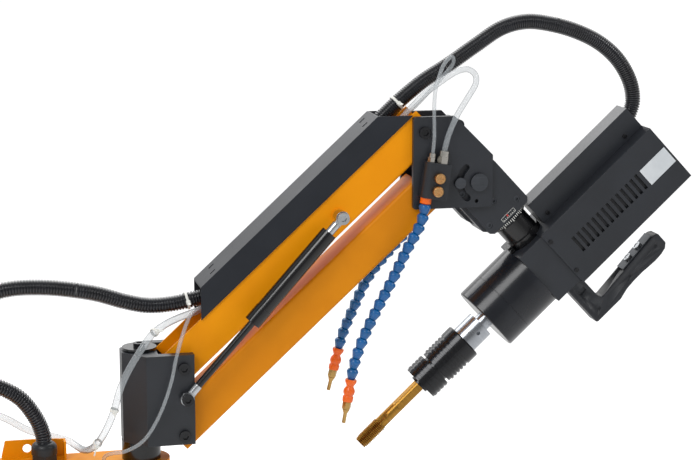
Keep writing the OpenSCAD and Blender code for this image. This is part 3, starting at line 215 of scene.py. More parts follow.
class Graph(Tree):
    """The node tree of one material."""

    def __init__(self, name: str) -> None:
        """Starts an empty material with its output.

        Args:
            name: The material's name.
        """
        self.material = bpy.data.materials.new("look_" + name)
        self.material.use_nodes = True
        super().__init__(self.material.node_tree)
        self.tree.nodes.clear()
        self.output = self.tree.nodes.new("ShaderNodeOutputMaterial")

    def value(self, node: Any, output: Any = 0) -> Value:
        """One output of a node as a Value."""
        return Value(self, node.outputs[output])

    def place(self) -> Value:
        """Object coordinates, in metres."""
        return self.value(self.add("ShaderNodeTexCoord", {}, {}), "Object")

    def stretched(self, place: Value, turn: Point, scale: Point) -> Value:
        """Object coordinates turned, then scaled along each axis."""
        turned = self.add("ShaderNodeMapping", {"vector_type": "TEXTURE"}, {0: place, "Rotation": turn})
        scaled = self.add("ShaderNodeMapping", {}, {0: self.value(turned), "Scale": scale})
        return self.value(scaled)

    def noise(self, place: Value, scale: float, detail: float = 2.0) -> Value:
        """Noise from 0 to 1 at a scale per metre."""
        node = self.add("ShaderNodeTexNoise", {}, {"Vector": place, "Scale": scale, "Detail": detail})
        return self.value(node, "Fac" if "Fac" in node.outputs else 0)

    def blend(self, factor: Any, first: Any, second: Any) -> Value:
        """Mixes two colours."""
        node = self.add("ShaderNodeMix", {"data_type": "RGBA"}, {0: factor, 6: first, 7: second})
        return Value(self, node.outputs[2])

    def rounded_edges(self, radius: float) -> Value:
        """Normals that round the edges over a radius in metres."""
        node = self.add("ShaderNodeBevel", {"samples": 4}, {"Radius": radius})
        return self.value(node)

    def edge_mask(self, soft: Value) -> Value:
        """1 on edges, from the difference of the rounded and the true normal."""
        true = self.value(self.add("ShaderNodeNewGeometry", {}, {}), "Normal")
        dot = self.add("ShaderNodeVectorMath", {"operation": "DOT_PRODUCT"}, {0: soft, 1: true})
        return (1 - self.value(dot, "Value")).smooth(0.02, 0.2)

    def bump(self, height: Value, strength: float, distance: float, normal: Any = None) -> Value:
        """Bump from a height."""
        inputs: dict[Any, Any] = {"Height": height, "Strength": strength, "Distance": distance}
        if normal is not None:
            inputs["Normal"] = normal
        return self.value(self.add("ShaderNodeBump", {}, inputs))

    def finish(self, **inputs: Any) -> Any:
        """Ends the material in one Principled shader.

        Args:
            **inputs: Socket names with spaces as underscores, and their values.

        Returns:
            The material.
        """
        named = {name.replace("_", " "): given for name, given in inputs.items()}
        shader = self.add("ShaderNodeBsdfPrincipled", {}, named)
        self.tree.links.new(shader.outputs[0], self.output.inputs[0])
        return self.material


def colour(code: str) -> tuple[float, float, float, float]:
    """Turns a hex colour, as it shows on screen, into a linear one.

    Args:
        code: Six hex digits.

    Returns:
        Linear red, green, blue and alpha.
    """
    parts = [int(code[i : i + 2], 16) / 255 for i in (0, 2, 4)]
    return tuple([p / 12.92 if p < 0.04045 else ((p + 0.055) / 1.055) ** 2.4 for p in parts] + [1.0])


def tinted(code: str, factor: float, lift: float = 0.0) -> tuple[float, ...]:
    """A hex colour made brighter or darker in linear light, plus a lift."""
    return tuple(min(1.0, lift + c * factor) for c in colour(code)[:3]) + (1.0,)


@dataclass(frozen=True)
class PowderCoat:
    """Baked powder paint with a fine grain, and edges lightened in patches as a painted highlight."""

    name: str
    base: str
    shade: str
    rough: float = 0.5
    grain: float = 900.0
    depth: float = 0.00008
    # Strength of the painted highlight on the edges.
    edge_highlight: float = 0.25
    edge: float = 0.0008
    shine: float = 0.42

    def build(self) -> Any:
        """Makes the material."""
        g = Graph(self.name)
        at = g.place()
        cloud = g.noise(at, 14.0, 4.0)
        speck = g.noise(at, self.grain, 1.0)
        soft = g.rounded_edges(self.edge)
        # Painted highlight: the edges are lightened in patches towards a brighter copy of the base.
        edges = g.edge_mask(soft) * cloud.smooth(0.35, 0.7) * self.edge_highlight
        tint = g.blend(cloud.smooth(0.3, 0.7), colour(self.base), colour(self.shade))
        return g.finish(
            Base_Color=g.blend(edges.clamp(0, 1), tint, tinted(self.base, 1.35, 0.06)),
            Roughness=self.rough + (speck - 0.5) * 0.12 + (cloud - 0.5) * 0.08,
            Normal=g.bump(speck, 0.35, self.depth, soft),
            Specular_IOR_Level=self.shine,
        )


@dataclass(frozen=True)
class Enamel:
    """Gloss lacquer or polished black oxide, almost mirror smooth."""

    name: str
    base: str
    rough: float = 0.16
    coat: float = 0.6
    metal: float = 0.0
    edge: float = 0.0006
    shine: float = 0.5

    def build(self) -> Any:
        """Makes the material."""
        g = Graph(self.name)
        at = g.place()
        cloud = g.noise(at, 22.0, 3.0)
        fine = g.noise(at, 420.0, 2.0)
        soft = g.rounded_edges(self.edge)
        return g.finish(
            Base_Color=g.blend(cloud.smooth(0.3, 0.75), colour(self.base), tinted(self.base, 1.5)),
            Metallic=self.metal,
            Roughness=self.rough + (cloud - 0.5) * 0.08,
            Normal=g.bump(fine, 0.12, 0.00004, soft),
            Coat_Weight=self.coat,
            Coat_Roughness=0.06,
            Specular_IOR_Level=self.shine,
        )


@dataclass(frozen=True)
class TurnedMetal:
    """Turned or ground metal with fine marks round or along an axis."""

    name: str
    base: str
    rough: float = 0.24
    turn: Point = (0.0, 0.0, 0.0)
    marks: Point = (40.0, 40.0, 2400.0)
    depth: float = 0.00003
    edge: float = 0.0004

    def build(self) -> Any:
        """Makes the material."""
        g = Graph(self.name)
        at = g.place()
        lines = g.noise(g.stretched(at, self.turn, self.marks), 1.0, 2.0)
        cloud = g.noise(at, 30.0, 3.0)
        soft = g.rounded_edges(self.edge)
        shade = (lines * 0.6 + cloud * 0.4).smooth(0.3, 0.7)
        return g.finish(
            Base_Color=g.blend(shade, tinted(self.base, 0.72), colour(self.base)),
            Metallic=1.0,
            Roughness=self.rough + (lines - 0.5) * 0.2,
            Normal=g.bump(lines, 0.2, self.depth, soft),
        )


@dataclass(frozen=True)
class Moulded:
    """Moulded plastic with a faint skin, duller where it was handled."""

    name: str
    base: str
    shade: str
    rough: float = 0.4
    grain: float = 700.0
    depth: float = 0.00005
    coat: float = 0.0
    edge: float = 0.0005

    def build(self) -> Any:
        """Makes the material."""
        g = Graph(self.name)
        at = g.place()
        cloud = g.noise(at, 35.0, 3.0)
        skin = g.noise(at, self.grain, 1.0)
        soft = g.rounded_edges(self.edge)
        return g.finish(
            Base_Color=g.blend(cloud.smooth(0.3, 0.7), colour(self.base), colour(self.shade)),
            Roughness=self.rough + (cloud - 0.5) * 0.15,
            Normal=g.bump(skin, 0.25, self.depth, soft),
            Coat_Weight=self.coat,
        )


@dataclass(frozen=True)
class ClearTubing:
    """Clear plastic tube: thin in the middle, more opaque towards its edges, where its colour is darkened
    to grey as painted shade.
    """

    name: str
    base: str = "C2C8CC"
    # Grey of the painted shade at the tube's edges.
    rim: str = "565E65"

    def build(self) -> Any:
        """Makes the material."""
        g = Graph(self.name)
        at = g.place()
        facing = g.value(g.add("ShaderNodeLayerWeight", {}, {"Blend": 0.5}), "Facing")
        haze = g.noise(at, 90.0, 2.0)
        # Facing mask: towards the edges it darkens the colour as painted shade and makes the tube more
        # opaque.
        rim = facing.smooth(0.3, 0.85)
        material = g.finish(
            Base_Color=g.blend(rim, colour(self.base), colour(self.rim)),
            Roughness=0.1 + haze * 0.08,
            Alpha=(0.3 + rim * 0.55 + (haze - 0.5) * 0.12).clamp(0, 1),
            Coat_Weight=0.4,
        )
        material.surface_render_method = "BLENDED"
        return material


MADE: dict[str, Any] = {}
ALONG_HEAD = (0.0, math.radians(PLACES.tilt_deg), 0.0)


class Finish(Enum):
    """Every finish on the machine."""

    ORANGE = PowderCoat("orange_powder_coat", "F29A00", "EC9300", 0.5, 700.0, 0.00005, 0.12, shine=0.16)
    # A darker copy of the beam orange for the lower beam: painted shade, as it lies under the upper beam.
    ORANGE_SHADED = PowderCoat("orange_lower_beam", "E08B06", "D98404", 0.45, 700.0, 0.00005, 0.12, shine=0.2)
    CHARCOAL = PowderCoat("charcoal_powder_coat", "282B31", "23262B", 0.38, 800.0, 0.0001, 0.5, shine=0.5)
    CHARCOAL_COVER = PowderCoat("charcoal_cover", "282B31", "23262C", 0.42, 850.0, 0.00009, 0.3, shine=0.26)
    BLACK_OXIDE = Enamel("black_oxide", "17181B", 0.22, 0.3, 0.5)
    GLOSS_BLACK = Enamel("gloss_black", "08080A", 0.2, 0.2)
    GEARBOX_BLACK = Enamel("gearbox_black", "191B20", 0.2, 0.1, shine=0.36)
    STEEL = TurnedMetal("bright_steel", "CDD0D3", 0.22)
    DARK_STEEL = TurnedMetal("burnished_steel", "45484C", 0.34)
    PIN_GREY = TurnedMetal("satin_pins", "5C5F64", 0.5)
    SPINDLE_STEEL = TurnedMetal("ground_spindle_steel", "B4B8BE", 0.24, ALONG_HEAD, (30.0, 30.0, 1800.0))
    NICKEL = TurnedMetal("nickel_plate", "D8D4CC", 0.2)
    BRONZE = TurnedMetal("bush_bronze", "A8814F", 0.35)
    KNOB_BRASS = TurnedMetal("knob_brass", "E6B277", 0.3)
    NOZZLE_BRASS = TurnedMetal("nozzle_brass", "C9A263", 0.26)
    TAP_GOLD = TurnedMetal("tap_coating", "B4863C", 0.38, ALONG_HEAD, (60.0, 60.0, 900.0))
    HOSE_BLUE = Moulded("hose_blue", "0060A4", "005792", 0.3, 500.0, 0.00003, 0.2)
    HOSE_ORANGE = Moulded("hose_orange", "F46A08", "EC6206", 0.32, 500.0, 0.00003, 0.2)
    CONDUIT = Moulded("conduit_black", "131418", "1A1C22", 0.22, 600.0, 0.00004, 0.4)
    BLACK_PLASTIC = Moulded("black_plastic", "1B1D20", "202226", 0.4, 600.0, 0.00008)
    HANDLE = Moulded("handle_plastic", "212328", "26292E", 0.45, 1100.0, 0.00012)
    NYLON = Moulded("white_nylon", "EDEDE8", "E2E2DC", 0.4)
    LABEL = Moulded("plain_plate", "D6DADD", "C8CDD1", 0.35)
    RED_MARK = Moulded("red_index_paint", "C32A22", "A8241E", 0.4)
    CLEAR = ClearTubing("clear_tube")

    def material(self) -> Any:
        """The finish's material, made once."""
        if self.name not in MADE:
            MADE[self.name] = self.value.build()
        return MADE[self.name]


# ---------------------------------------------------------------- meshes


def linked(name: str, data: Any) -> Any:
    """A new object with the data, in the scene."""
    thing = bpy.data.objects.new(name, data)
    bpy.context.scene.collection.objects.link(thing)
    return thing


def moved(place: Matrix, shift: Sequence[float], degrees: float = 0.0, axis: str = "Y") -> Matrix:
    """A frame shifted along its own axes, then turned about one of them.

    Args:
        place: The frame to start from.
        shift: The shift in millimetres.
        degrees: The turn.
        axis: The axis of the turn.

    Returns:
        The new frame.
    """
    return place @ Matrix.Translation(shift) @ Matrix.Rotation(math.radians(degrees), 4, axis)


def mounted(thing: Any, body: str, node: str = "") -> Any:
    """Puts a piece on its body, and in the place of a solid if one is named."""
    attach(thing, body)
    if node:
        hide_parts(node)
    return thing


def piece(name: str, bm: bmesh.types.BMesh, finish: Finish, smooth: float = 35.0) -> Any:
    """Turns a bmesh in millimetres into an object in metres with one finish.

    Args:
        name: The object's name.
        bm: The mesh, which is freed.
        finish: Its finish.
        smooth: Angle in degrees under which faces shade smoothly.

    Returns:
        The object, at the origin.
    """
    bmesh.ops.remove_doubles(bm, verts=bm.verts, dist=0.0005)
    bmesh.ops.recalc_face_normals(bm, faces=bm.faces)
    bm.transform(Matrix.Scale(MM, 4))
    mesh = bpy.data.meshes.new(name)
    bm.to_mesh(mesh)
    bm.free()
    mesh.materials.append(finish.material())
    mesh.shade_smooth()
    mesh.set_sharp_from_angle(angle=math.radians(smooth))
    return linked(name, mesh)


def lathe(bm: bmesh.types.BMesh, profile: Sequence[tuple[float, float]], place: Matrix,
          sides: int = 48, wave: Callable[[float, float], float] | None = None) -> None:
    """Adds a turned shape about the place's z axis.

    Args:
        bm: The mesh to add to.
        profile: Radius and height pairs; the first and last may lie on the axis.
        place: Frame of the axis.
        sides: Faces round it.
        wave: Factor on the radius from angle in radians and height.
    """
    rings = []
    for radius, height in profile:
        if radius < 1e-6:
            rings.append([bm.verts.new(place @ Vector((0, 0, height)))])
            continue
        ring = []
        for k in range(sides):
            a = 2 * math.pi * k / sides
            r = radius * (wave(a, height) if wave else 1.0)
            ring.append(bm.verts.new(place @ Vector((r * math.cos(a), r * math.sin(a), height))))
        rings.append(ring)
    for low, high in zip(rings, rings[1:]):
        for k in range(sides):
            n = (k + 1) % sides
            if len(low) == 1 and len(high) == 1:
                break
            if len(low) == 1:
                bm.faces.new((low[0], high[n], high[k]))
            elif len(high) == 1:
                bm.faces.new((low[k], low[n], high[0]))
            else:
                bm.faces.new((low[k], low[n], high[n], high[k]))


def prism(bm: bmesh.types.BMesh, outline: Sequence[tuple[float, float]], place: Matrix,
          low: float, high: float) -> None:
    """Adds a prism whose outline lies in the place's xz plane, between two y values."""
    near = [bm.verts.new(place @ Vector((x, low, z))) for x, z in outline]
    far = [bm.verts.new(place @ Vector((x, high, z))) for x, z in outline]
    bm.faces.new(near)
    bm.faces.new(list(reversed(far)))
    for k in range(len(near)):
        n = (k + 1) % len(near)
        bm.faces.new((near[n], near[k], far[k], far[n]))


def box(bm: bmesh.types.BMesh, place: Matrix, low: Point, high: Point) -> None:
    """Adds a box between two corners in the place's frame."""
    prism(bm, [(low[0], low[2]), (high[0], low[2]), (high[0], high[2]), (low[0], high[2])],
          place, low[1], high[1])


def bevelled(thing: Any, width: float, segments: int = 3, angle: float = 30.0) -> Any:
    """Rounds an object's edges and applies it.

    Args:
        thing: The object.
        width: Width of the rounding in millimetres.
        segments: Faces across it.
        angle: Edges sharper than this in degrees are rounded.

    Returns:
        The object.
    """
    mod = thing.modifiers.new("edges", "BEVEL")
    mod.width = width * MM
    mod.segments = segments
    mod.limit_method = "ANGLE"
    mod.angle_limit = math.radians(angle)
    return applied(thing)


def applied(thing: Any) -> Any:
    """Turns an object's modifiers into plain mesh."""
    graph = bpy.context.evaluated_depsgraph_get()
    mesh = bpy.data.meshes.new_from_object(thing.evaluated_get(graph), depsgraph=graph)
    thing.modifiers.clear()
    thing.data = mesh
    return thing


# ---------------------------------------------------------------- routes


@dataclass(frozen=True)
class Route:
    """A smooth line through points, in millimetres, as the solids follow it."""

    points: tuple[Point, ...]

    def dense(self) -> list[Vector]:
        """The line's points, ten for each step of the route."""
        p = [Vector(q) for q in self.points]
        out: list[Vector] = []
        for i in range(len(p) - 1):
            a, b, c, d = p[max(i - 1, 0)], p[i], p[i + 1], p[min(i + 2, len(p) - 1)]
            for k in range(10):
                t = k / 10
                out.append(0.5 * (2 * b + (c - a) * t + (2 * a - 5 * b + 4 * c - d) * t * t
                                  + (3 * b - a - 3 * c + d) * t ** 3))
        return out + [p[-1]]

    def table(self) -> tuple[list[Vector], list[float]]:
        """The dense points and the length up to each."""
        q = self.dense()
        lengths = [0.0]
        for a, b in zip(q, q[1:]):
            lengths.append(lengths[-1] + (b - a).length)
        return q, lengths

    @property
    def total(self) -> float:
        """Length of the whole line."""
        return self.table()[1][-1]

    def at(self, distance: float) -> Vector:
        """The point at a distance along the line."""
        q, lengths = self.table()
        distance = min(max(distance, 0.0), lengths[-1])
        for i in range(1, len(q)):
            if lengths[i] >= distance:
                share = (distance - lengths[i - 1]) / max(lengths[i] - lengths[i - 1], 1e-9)
                return q[i - 1].lerp(q[i], share)
        return q[-1]

    def heading(self, distance: float) -> Vector:
        """Direction of the line at a distance along it."""
        return (self.at(distance + 1) - self.at(distance - 1)).normalized()

    def stretch(self, start: float, end: float, step: float = 4.0) -> list[Vector]:
        """Points along part of the line, about a step apart."""
        count = max(2, round((end - start) / step))
        return [self.at(start + (end - start) * i / count) for i in range(count + 1)]


ARCH = Route(((769, 4, 957), (786, 5, 973), (809, 7, 993), (842, 9, 1018), (878, 8, 1040),
              (915, 7, 1065), (950, 6, 1087), (985, 5, 1095), (1020, 4, 1091), (1055, 3, 1081),
              (1088, 2, 1065), (1115, 1, 1042), (1133, 0, 1013), (1139, 0, 985), (1133, 0, 962),
              (1125, 0, 944)))
LOOP = Route(((566, 0, 743), (548, 0, 739), (524, 0, 735), (497, 0, 730), (464, 0, 729),
              (432, 0, 736), (388, 0, 750), (326, 0, 760), (270, 0, 758), (215, 4, 735),
              (185, 6, 700), (190, 6, 664), (228, 4, 643), (266, 0, 629), (293, 0, 611),
              (312, 0, 583), (320, 0, 560), (321, 0, 540), (321, 0, 526)))
THIN_FEED = Route(((811, -8, 975), (824, -12, 985), (840, -17, 1003), (858, -22, 1024),
                   (872, -28, 1043), (869, -34, 1054), (857, -38, 1044), (847.7, -42, 1024),
                   (842.8, -45, 1005), (841.6, -46.1, 980), (842.2, -46.1, 956), (841.4, -46.1, 937),
                   (840.1, -46.1, 926.9), (838.96, -46.1, 919)))
THICK_FEED = Route(((800, -16, 966), (818, -19, 986), (834.5, -23, 1003), (856, -28, 1020),
                    (875, -32, 1032.5), (890, -36, 1036.5), (900, -39, 1029), (899.5, -42, 1017),
                    (889, -45, 1001), (873, -46.1, 976), (862.5, -46.1, 952), (857.8, -46.1, 936),
                    (856.5, -46.1, 929.5), (855.3, -46.1, 921.6)))
BUNDLE = Route(((556, 8, 726), (528, 2, 717.5), (500, -17, 713.5), (478, -36, 709), (461, -50, 701),
                (446, -57.5, 684), (434, -58.5, 666), (424, -58.5, 648), (415.6, -58, 627.5),
                (410.2, -56, 607.6), (404.7, -53, 591), (396.2, -45, 570), (388, -32, 553),
                (380, -15, 541), (373, 6, 534.5), (366, 24, 534.5), (357, 38, 538), (338, 42, 544),
                (304, 40, 556), (266, 34, 580), (232, 20, 587), (200, 4, 568), (187, 0, 545),
                (186, 0, 530), (186, 0, 518)))
SINGLE = Route(((548, -20, 731), (531, -24, 729), (514, -38, 722), (500, -54, 697),
                (491, -60, 670), (483, -60, 635), (469, -58, 596), (449, -54, 562),
                (427, -42, 544), (408, -28, 537), (399, -20, 531), (397, -18, 521.3)))


class Nodes(Tree):
    """Builds one Geometry Nodes tree with named inputs."""

    def __init__(self, name: str, sizes: dict[str, float]) -> None:
        """Starts a tree.

        Args:
            name: The tree's name.
            sizes: Named number inputs and their values.
        """
        super().__init__(bpy.data.node_groups.new(name, "GeometryNodeTree"))
        face = self.tree.interface
        face.new_socket("Geometry", in_out="INPUT", socket_type="NodeSocketGeometry")
        self.sizes = sizes
        self.ids = {n: face.new_socket(n, in_out="INPUT", socket_type="NodeSocketFloat").identifier
                    for n in sizes}
        self.ids["Material"] = face.new_socket(
            "Material", in_out="INPUT", socket_type="NodeSocketMaterial").identifier
        face.new_socket("Geometry", in_out="OUTPUT", socket_type="NodeSocketGeometry")
        self.start = self.tree.nodes.new("NodeGroupInput")
        self.end = self.tree.nodes.new("NodeGroupOutput")

    def given(self, name: str) -> Any:
        """An input of the tree."""
        return self.start.outputs[name]

    def named(self, name: str, kind: str = "FLOAT") -> Any:
        """A named attribute of the geometry."""
        return self.add("GeometryNodeInputNamedAttribute", {"data_type": kind}, {"Name": name}).outputs[0]

    def calc(self, operation: str, first: Any, second: Any = 0.0) -> Any:
        """A Math node's result."""
        return self.add("ShaderNodeMath", {"operation": operation}, {0: first, 1: second}).outputs[0]

    def run(self, thing: Any, finish: Finish, geometry: Any) -> Any:
        """Ends the tree, runs it on an object and keeps the result as plain mesh.

        Args:
            thing: The object that carries the tree's input mesh.
            finish: The finish of the result.
            geometry: The socket of the finished geometry.

        Returns:
            The object with its new mesh.
        """
        real = self.add("GeometryNodeRealizeInstances", {}, {0: geometry}).outputs[0]
        dressed = self.add("GeometryNodeSetMaterial", {}, {0: real, "Material": self.given("Material")})
        self.tree.links.new(dressed.outputs[0], self.end.inputs[0])
        mod = thing.modifiers.new(self.tree.name, "NODES")
        mod.node_group = self.tree
        for name, value in self.sizes.items():
            mod[self.ids[name]] = float(value)
        mod[self.ids["Material"]] = finish.material()
        return applied(thing)


def path_object(name: str, points: Sequence[Vector]) -> Any:
    """An object whose mesh is one line of edges through points in millimetres."""
    mesh = bpy.data.meshes.new(name)
    mesh.from_pydata([tuple(p * MM) for p in points], [(i, i + 1) for i in range(len(points) - 1)], [])
    return linked(name, mesh)


def swept(tree: Nodes, curve: Any, sides: int) -> Any:
    """A round skin of the tree's Radius along a curve, with closed ends."""
    ring = tree.add("GeometryNodeCurvePrimitiveCircle", {},
                    {"Resolution": sides, "Radius": tree.given("Radius")}).outputs[0]
    return tree.add("GeometryNodeCurveToMesh", {},
                    {"Curve": curve, "Profile Curve": ring, "Fill Caps": True}).outputs[0]


@dataclass(frozen=True)
class RibbedHose:
    """Corrugated conduit: round ribs with narrow grooves between them."""

    diameter: float
    pitch: float
    groove: float = 1.8
    samples: int = 8
    sides: int = 28

    def build(self, name: str, route: Route, start: float, end: float) -> Any:
        """Makes one stretch of the conduit.

        Args:
            name: The piece's name.
            route: The line that it follows.
            start: Where on the line it starts.
            end: Where on the line it ends.

        Returns:
            The piece.
        """
        count = max(1, round((end - start) / self.pitch))
        pitch = (end - start) / count
        tree = Nodes(name + "_ribs", {"Radius": self.diameter / 2 * MM, "Groove": self.groove * MM,
                                      "Pitch": pitch * MM})
        line = tree.add("GeometryNodeMeshToCurve", {}, {0: tree.given("Geometry")}).outputs[0]
        even = tree.add("GeometryNodeResampleCurve", {"mode": "COUNT"},
                        {"Curve": line, "Count": count * self.samples + 1}).outputs[0]
        length = tree.add("GeometryNodeSplineParameter", {}, {}).outputs["Length"]
        marked = tree.add("GeometryNodeStoreNamedAttribute", {"data_type": "FLOAT", "domain": "POINT"},
                          {"Geometry": even, "Name": "along", "Value": length}).outputs[0]
        skin = swept(tree, marked, self.sides)
        share = tree.calc("DIVIDE", tree.named("along"), tree.given("Pitch"))
        turns = tree.calc("MULTIPLY", share, 2 * math.pi)
        crest = tree.calc("MAXIMUM", tree.calc("COSINE", turns), 0.0)
        depth = tree.calc("MULTIPLY", tree.calc("POWER", crest, 0.7), tree.given("Groove"))
        normal = tree.add("GeometryNodeInputNormal", {}, {}).outputs[0]
        inward = tree.add("ShaderNodeVectorMath", {"operation": "SCALE"},
                          {0: normal, "Scale": tree.calc("MULTIPLY", depth, -1.0)}).outputs[0]
        shaped = tree.add("GeometryNodeSetPosition", {}, {"Geometry": skin, "Offset": inward}).outputs[0]
        thing = tree.run(path_object(name, route.stretch(start, end, 3.0)), Finish.CONDUIT, shaped)
        thing.data.shade_smooth()
        return thing


@dataclass(frozen=True)
class PlainTube:
    """Clear coolant tube along a route."""

    diameter: float
    sides: int = 16

    def build(self, name: str, route: Route, start: float, end: float) -> Any:
        """Makes one stretch of tube."""
        tree = Nodes(name + "_wall", {"Radius": self.diameter / 2 * MM})
        line = tree.add("GeometryNodeMeshToCurve", {}, {0: tree.given("Geometry")}).outputs[0]
        thing = tree.run(path_object(name, route.stretch(start, end, 4.0)), Finish.CLEAR,
                         swept(tree, line, self.sides))
        thing.data.shade_smooth()
        return thing


# ---------------------------------------------------------------- sub-assemblies


def lay(part: Any, route: Route, ends: tuple[float, float], size: float,
        node: str, leads: tuple[float, float] = (0.0, 0.0)) -> None:
    """Fixes one stretch's mesh where it lies, hides the solid that it replaces and logs its length.

    Args:
        part: The piece.
        route: The line that it follows.
        ends: Where on the line it starts and ends.
        size: Its diameter in millimetres; not used.
        node: The solid that it replaces.
        leads: Lengths at its ends; not used.
    """
    start, end = ends
    route.at(start + leads[0]) * MM
    route.at(end - leads[1]) * MM
    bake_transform(part)
    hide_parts(node)
    route.at(start) * MM
    (end - start) * MM
    size * MM
    [p * MM for p in route.stretch(start, end, 4.0)]
    log.info("%s, %.0f mm", part.name, end - start)


@dataclass
class Conduits:
    """The two ribbed conduits, each built in stretches."""

    diameter: float = 21.2
    rib: float = 5.2
    arch_cuts: tuple[float, ...] = (0, 130, 300, 1000)
    loop_cuts: tuple[float, ...] = (0, 205, 1000)
    straight: float = 30.0
    arch_ribs: float = 3.1
    loop_ribs: float = 3.8

    def snapped(self, route: Route, distance: float) -> float:
        """A cut's place on the line, at the nearest rib of the solids."""
        pitch = route.total / round(route.total / self.rib)
        return round(min(distance, route.total) / pitch) * pitch

    def run(self, name: str, route: Route, cuts: Sequence[float], bodies: Sequence[str],
            nodes: Sequence[str], ribs: float) -> None:
        """Builds one conduit.

        Args:
            name: First part of the pieces' names.
            route: The line that it follows.
            cuts: Where the stretches meet.
            bodies: The bodies it goes between, one more than the stretches; not used.
            nodes: The solids that the stretches replace.
            ribs: Distance between two ribs.
        """
        places = [self.snapped(route, c) for c in cuts]
        for k, node in enumerate(nodes):
            start, end = places[k], places[k + 1]
            part = RibbedHose(self.diameter, ribs).build(f"{name}_{k + 1}", route, start, end)
            lead = self.straight if k == 0 else 0.0
            tail = self.straight if k == len(nodes) - 1 else 0.0
            lay(part, route, (start, end), self.diameter, node, (lead, tail))

    def build(self) -> None:
        """Builds both conduits."""
        self.run("arch_conduit", ARCH, self.arch_cuts, ("upper_beam", "head_bracket", "knuckle", "head"),
                 ("arch_hose_lower", "arch_hose_middle", "arch_hose_upper"), self.arch_ribs)
        self.run("loop_conduit", LOOP, self.loop_cuts, ("upper_beam", "swivel", "first_arm"),
                 ("loop_hose_upper", "loop_hose_lower"), self.loop_ribs)


@dataclass
class CoolantTubes:
    """The clear tubes at the head and behind the shoulder."""

    thin: float = 5.0
    thick: float = 8.0
    bundle: float = 9.6
    bundle_cut: float = 150.0
    single_cut: float = 250.0

    def stretch(self, name: str, route: Route, size: float, start: float, end: float,
                bodies: tuple[str, str], node: str) -> None:
        """Builds one stretch of tube and hides the solid that it replaces."""
        part = PlainTube(size).build(name, route, start, end)
        lay(part, route, (start, end), size, node)

    def build(self) -> None:
        """Builds all the tubes."""
        up = ("upper_beam", "head_bracket")
        self.stretch("thin_feed_tube", THIN_FEED, self.thin, 0, THIN_FEED.total, up, "head_tubes")
        self.stretch("thick_feed_tube", THICK_FEED, self.thick, 0, THICK_FEED.total, up, "head_tubes")
        for name, route, size, cut in (("rear_thick_tube", BUNDLE, self.bundle, self.bundle_cut),
                                       ("rear_thin_tube", SINGLE, self.thin, self.single_cut)):
            self.stretch(name + "_upper", route, size, 0, cut, ("upper_beam", "swivel"),
                         "rear_tubes_upper")
            self.stretch(name + "_lower", route, size, cut, route.total, ("swivel", "first_arm"),
                         "rear_tubes_lower")


@dataclass
class CableTies:
    """White nylon ties round the conduits and the thick rear tube."""

    width: float = 3.6
    conduit_r: float = 10.6
    tube_r: float = 4.8
    tail: float = 16.0
    arch_spot: float = 47.0
    loop_spot: float = 52.0
    bundle_cut: float = 150.0
    upper_spots: tuple[float, ...] = (112.0,)
    lower_spots: tuple[float, ...] = (230.0, 289.0)

    def tie(self, bm: bmesh.types.BMesh, route: Route, distance: float, r: float) -> None:
        """Adds a tie with its head and tail, round a line of radius r."""
        ahead = route.heading(distance)
        side = Vector((0, 1, 0)).cross(ahead).normalized()
        across = ahead.cross(side)
        place = Matrix.Translation(route.at(distance)) @ Matrix((side, across, ahead)).transposed().to_4x4()
        w = self.width / 2
        lathe(bm, [(r + 0.1, -w), (r + 1.3, -w), (r + 1.5, -w + 0.4), (r + 1.5, w - 0.4), (r + 1.3, w),
                   (r + 0.1, w), (r + 0.1, -w)], place, 36)
        box(bm, place, (-2.6, -r - 4.6, -2.8), (2.6, -r - 0.4, 2.8))
        box(bm, place, (-0.6, -r - self.tail, -1.7), (0.6, -r - 4, 1.7))

    def dressed(self, name: str, bm: bmesh.types.BMesh, node: str) -> Any:
        """Ends one piece of ties."""
        ties = bevelled(piece(name, bm, Finish.NYLON), 0.3, 2)
        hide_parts(node)
        return ties

    def build(self) -> None:
        """Builds the ties on the arm, then those on the thick rear tube."""
        bm = bmesh.new()
        self.tie(bm, ARCH, self.arch_spot, self.conduit_r)
        self.tie(bm, LOOP, self.loop_spot, self.conduit_r)
        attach(self.dressed("cable_ties_nylon", bm, "cable_ties"), "upper_beam")
        for name, spots, start, end, bodies in (
            ("upper", self.upper_spots, 0.0, self.bundle_cut, ("upper_beam", "swivel")),
            ("lower", self.lower_spots, self.bundle_cut, BUNDLE.total, ("swivel", "first_arm")),
        ):
            bm = bmesh.new()
            for spot in spots:
                self.tie(bm, BUNDLE, spot, self.tube_r)
            ties = self.dressed(f"rear_ties_{name}", bm, f"rear_tubes_{name}")
            BUNDLE.at(start) * MM
            BUNDLE.at(end) * MM
            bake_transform(ties)
        log.info("cable ties: 5")


# Where the outlets' balls are: in the valve block's frame, and from the wrist
FRONT_OUTLET = (-8.5, -10.5, -33)
REAR_OUTLET = (13, 46.6, -99)
# How far each link leans from upright, in degrees, from the outlet down
FRONT_BENDS = (8, 18, 28, 31, 28, 26, 26, 27, 28, 29, 28, 27, 26, 24, 22, 19, 15, 10)
REAR_BENDS = (5, 15, 25, 34, 42, 44, 43, 42, 38, 33, 27, 24, 24, 25, 23, 20, 14)


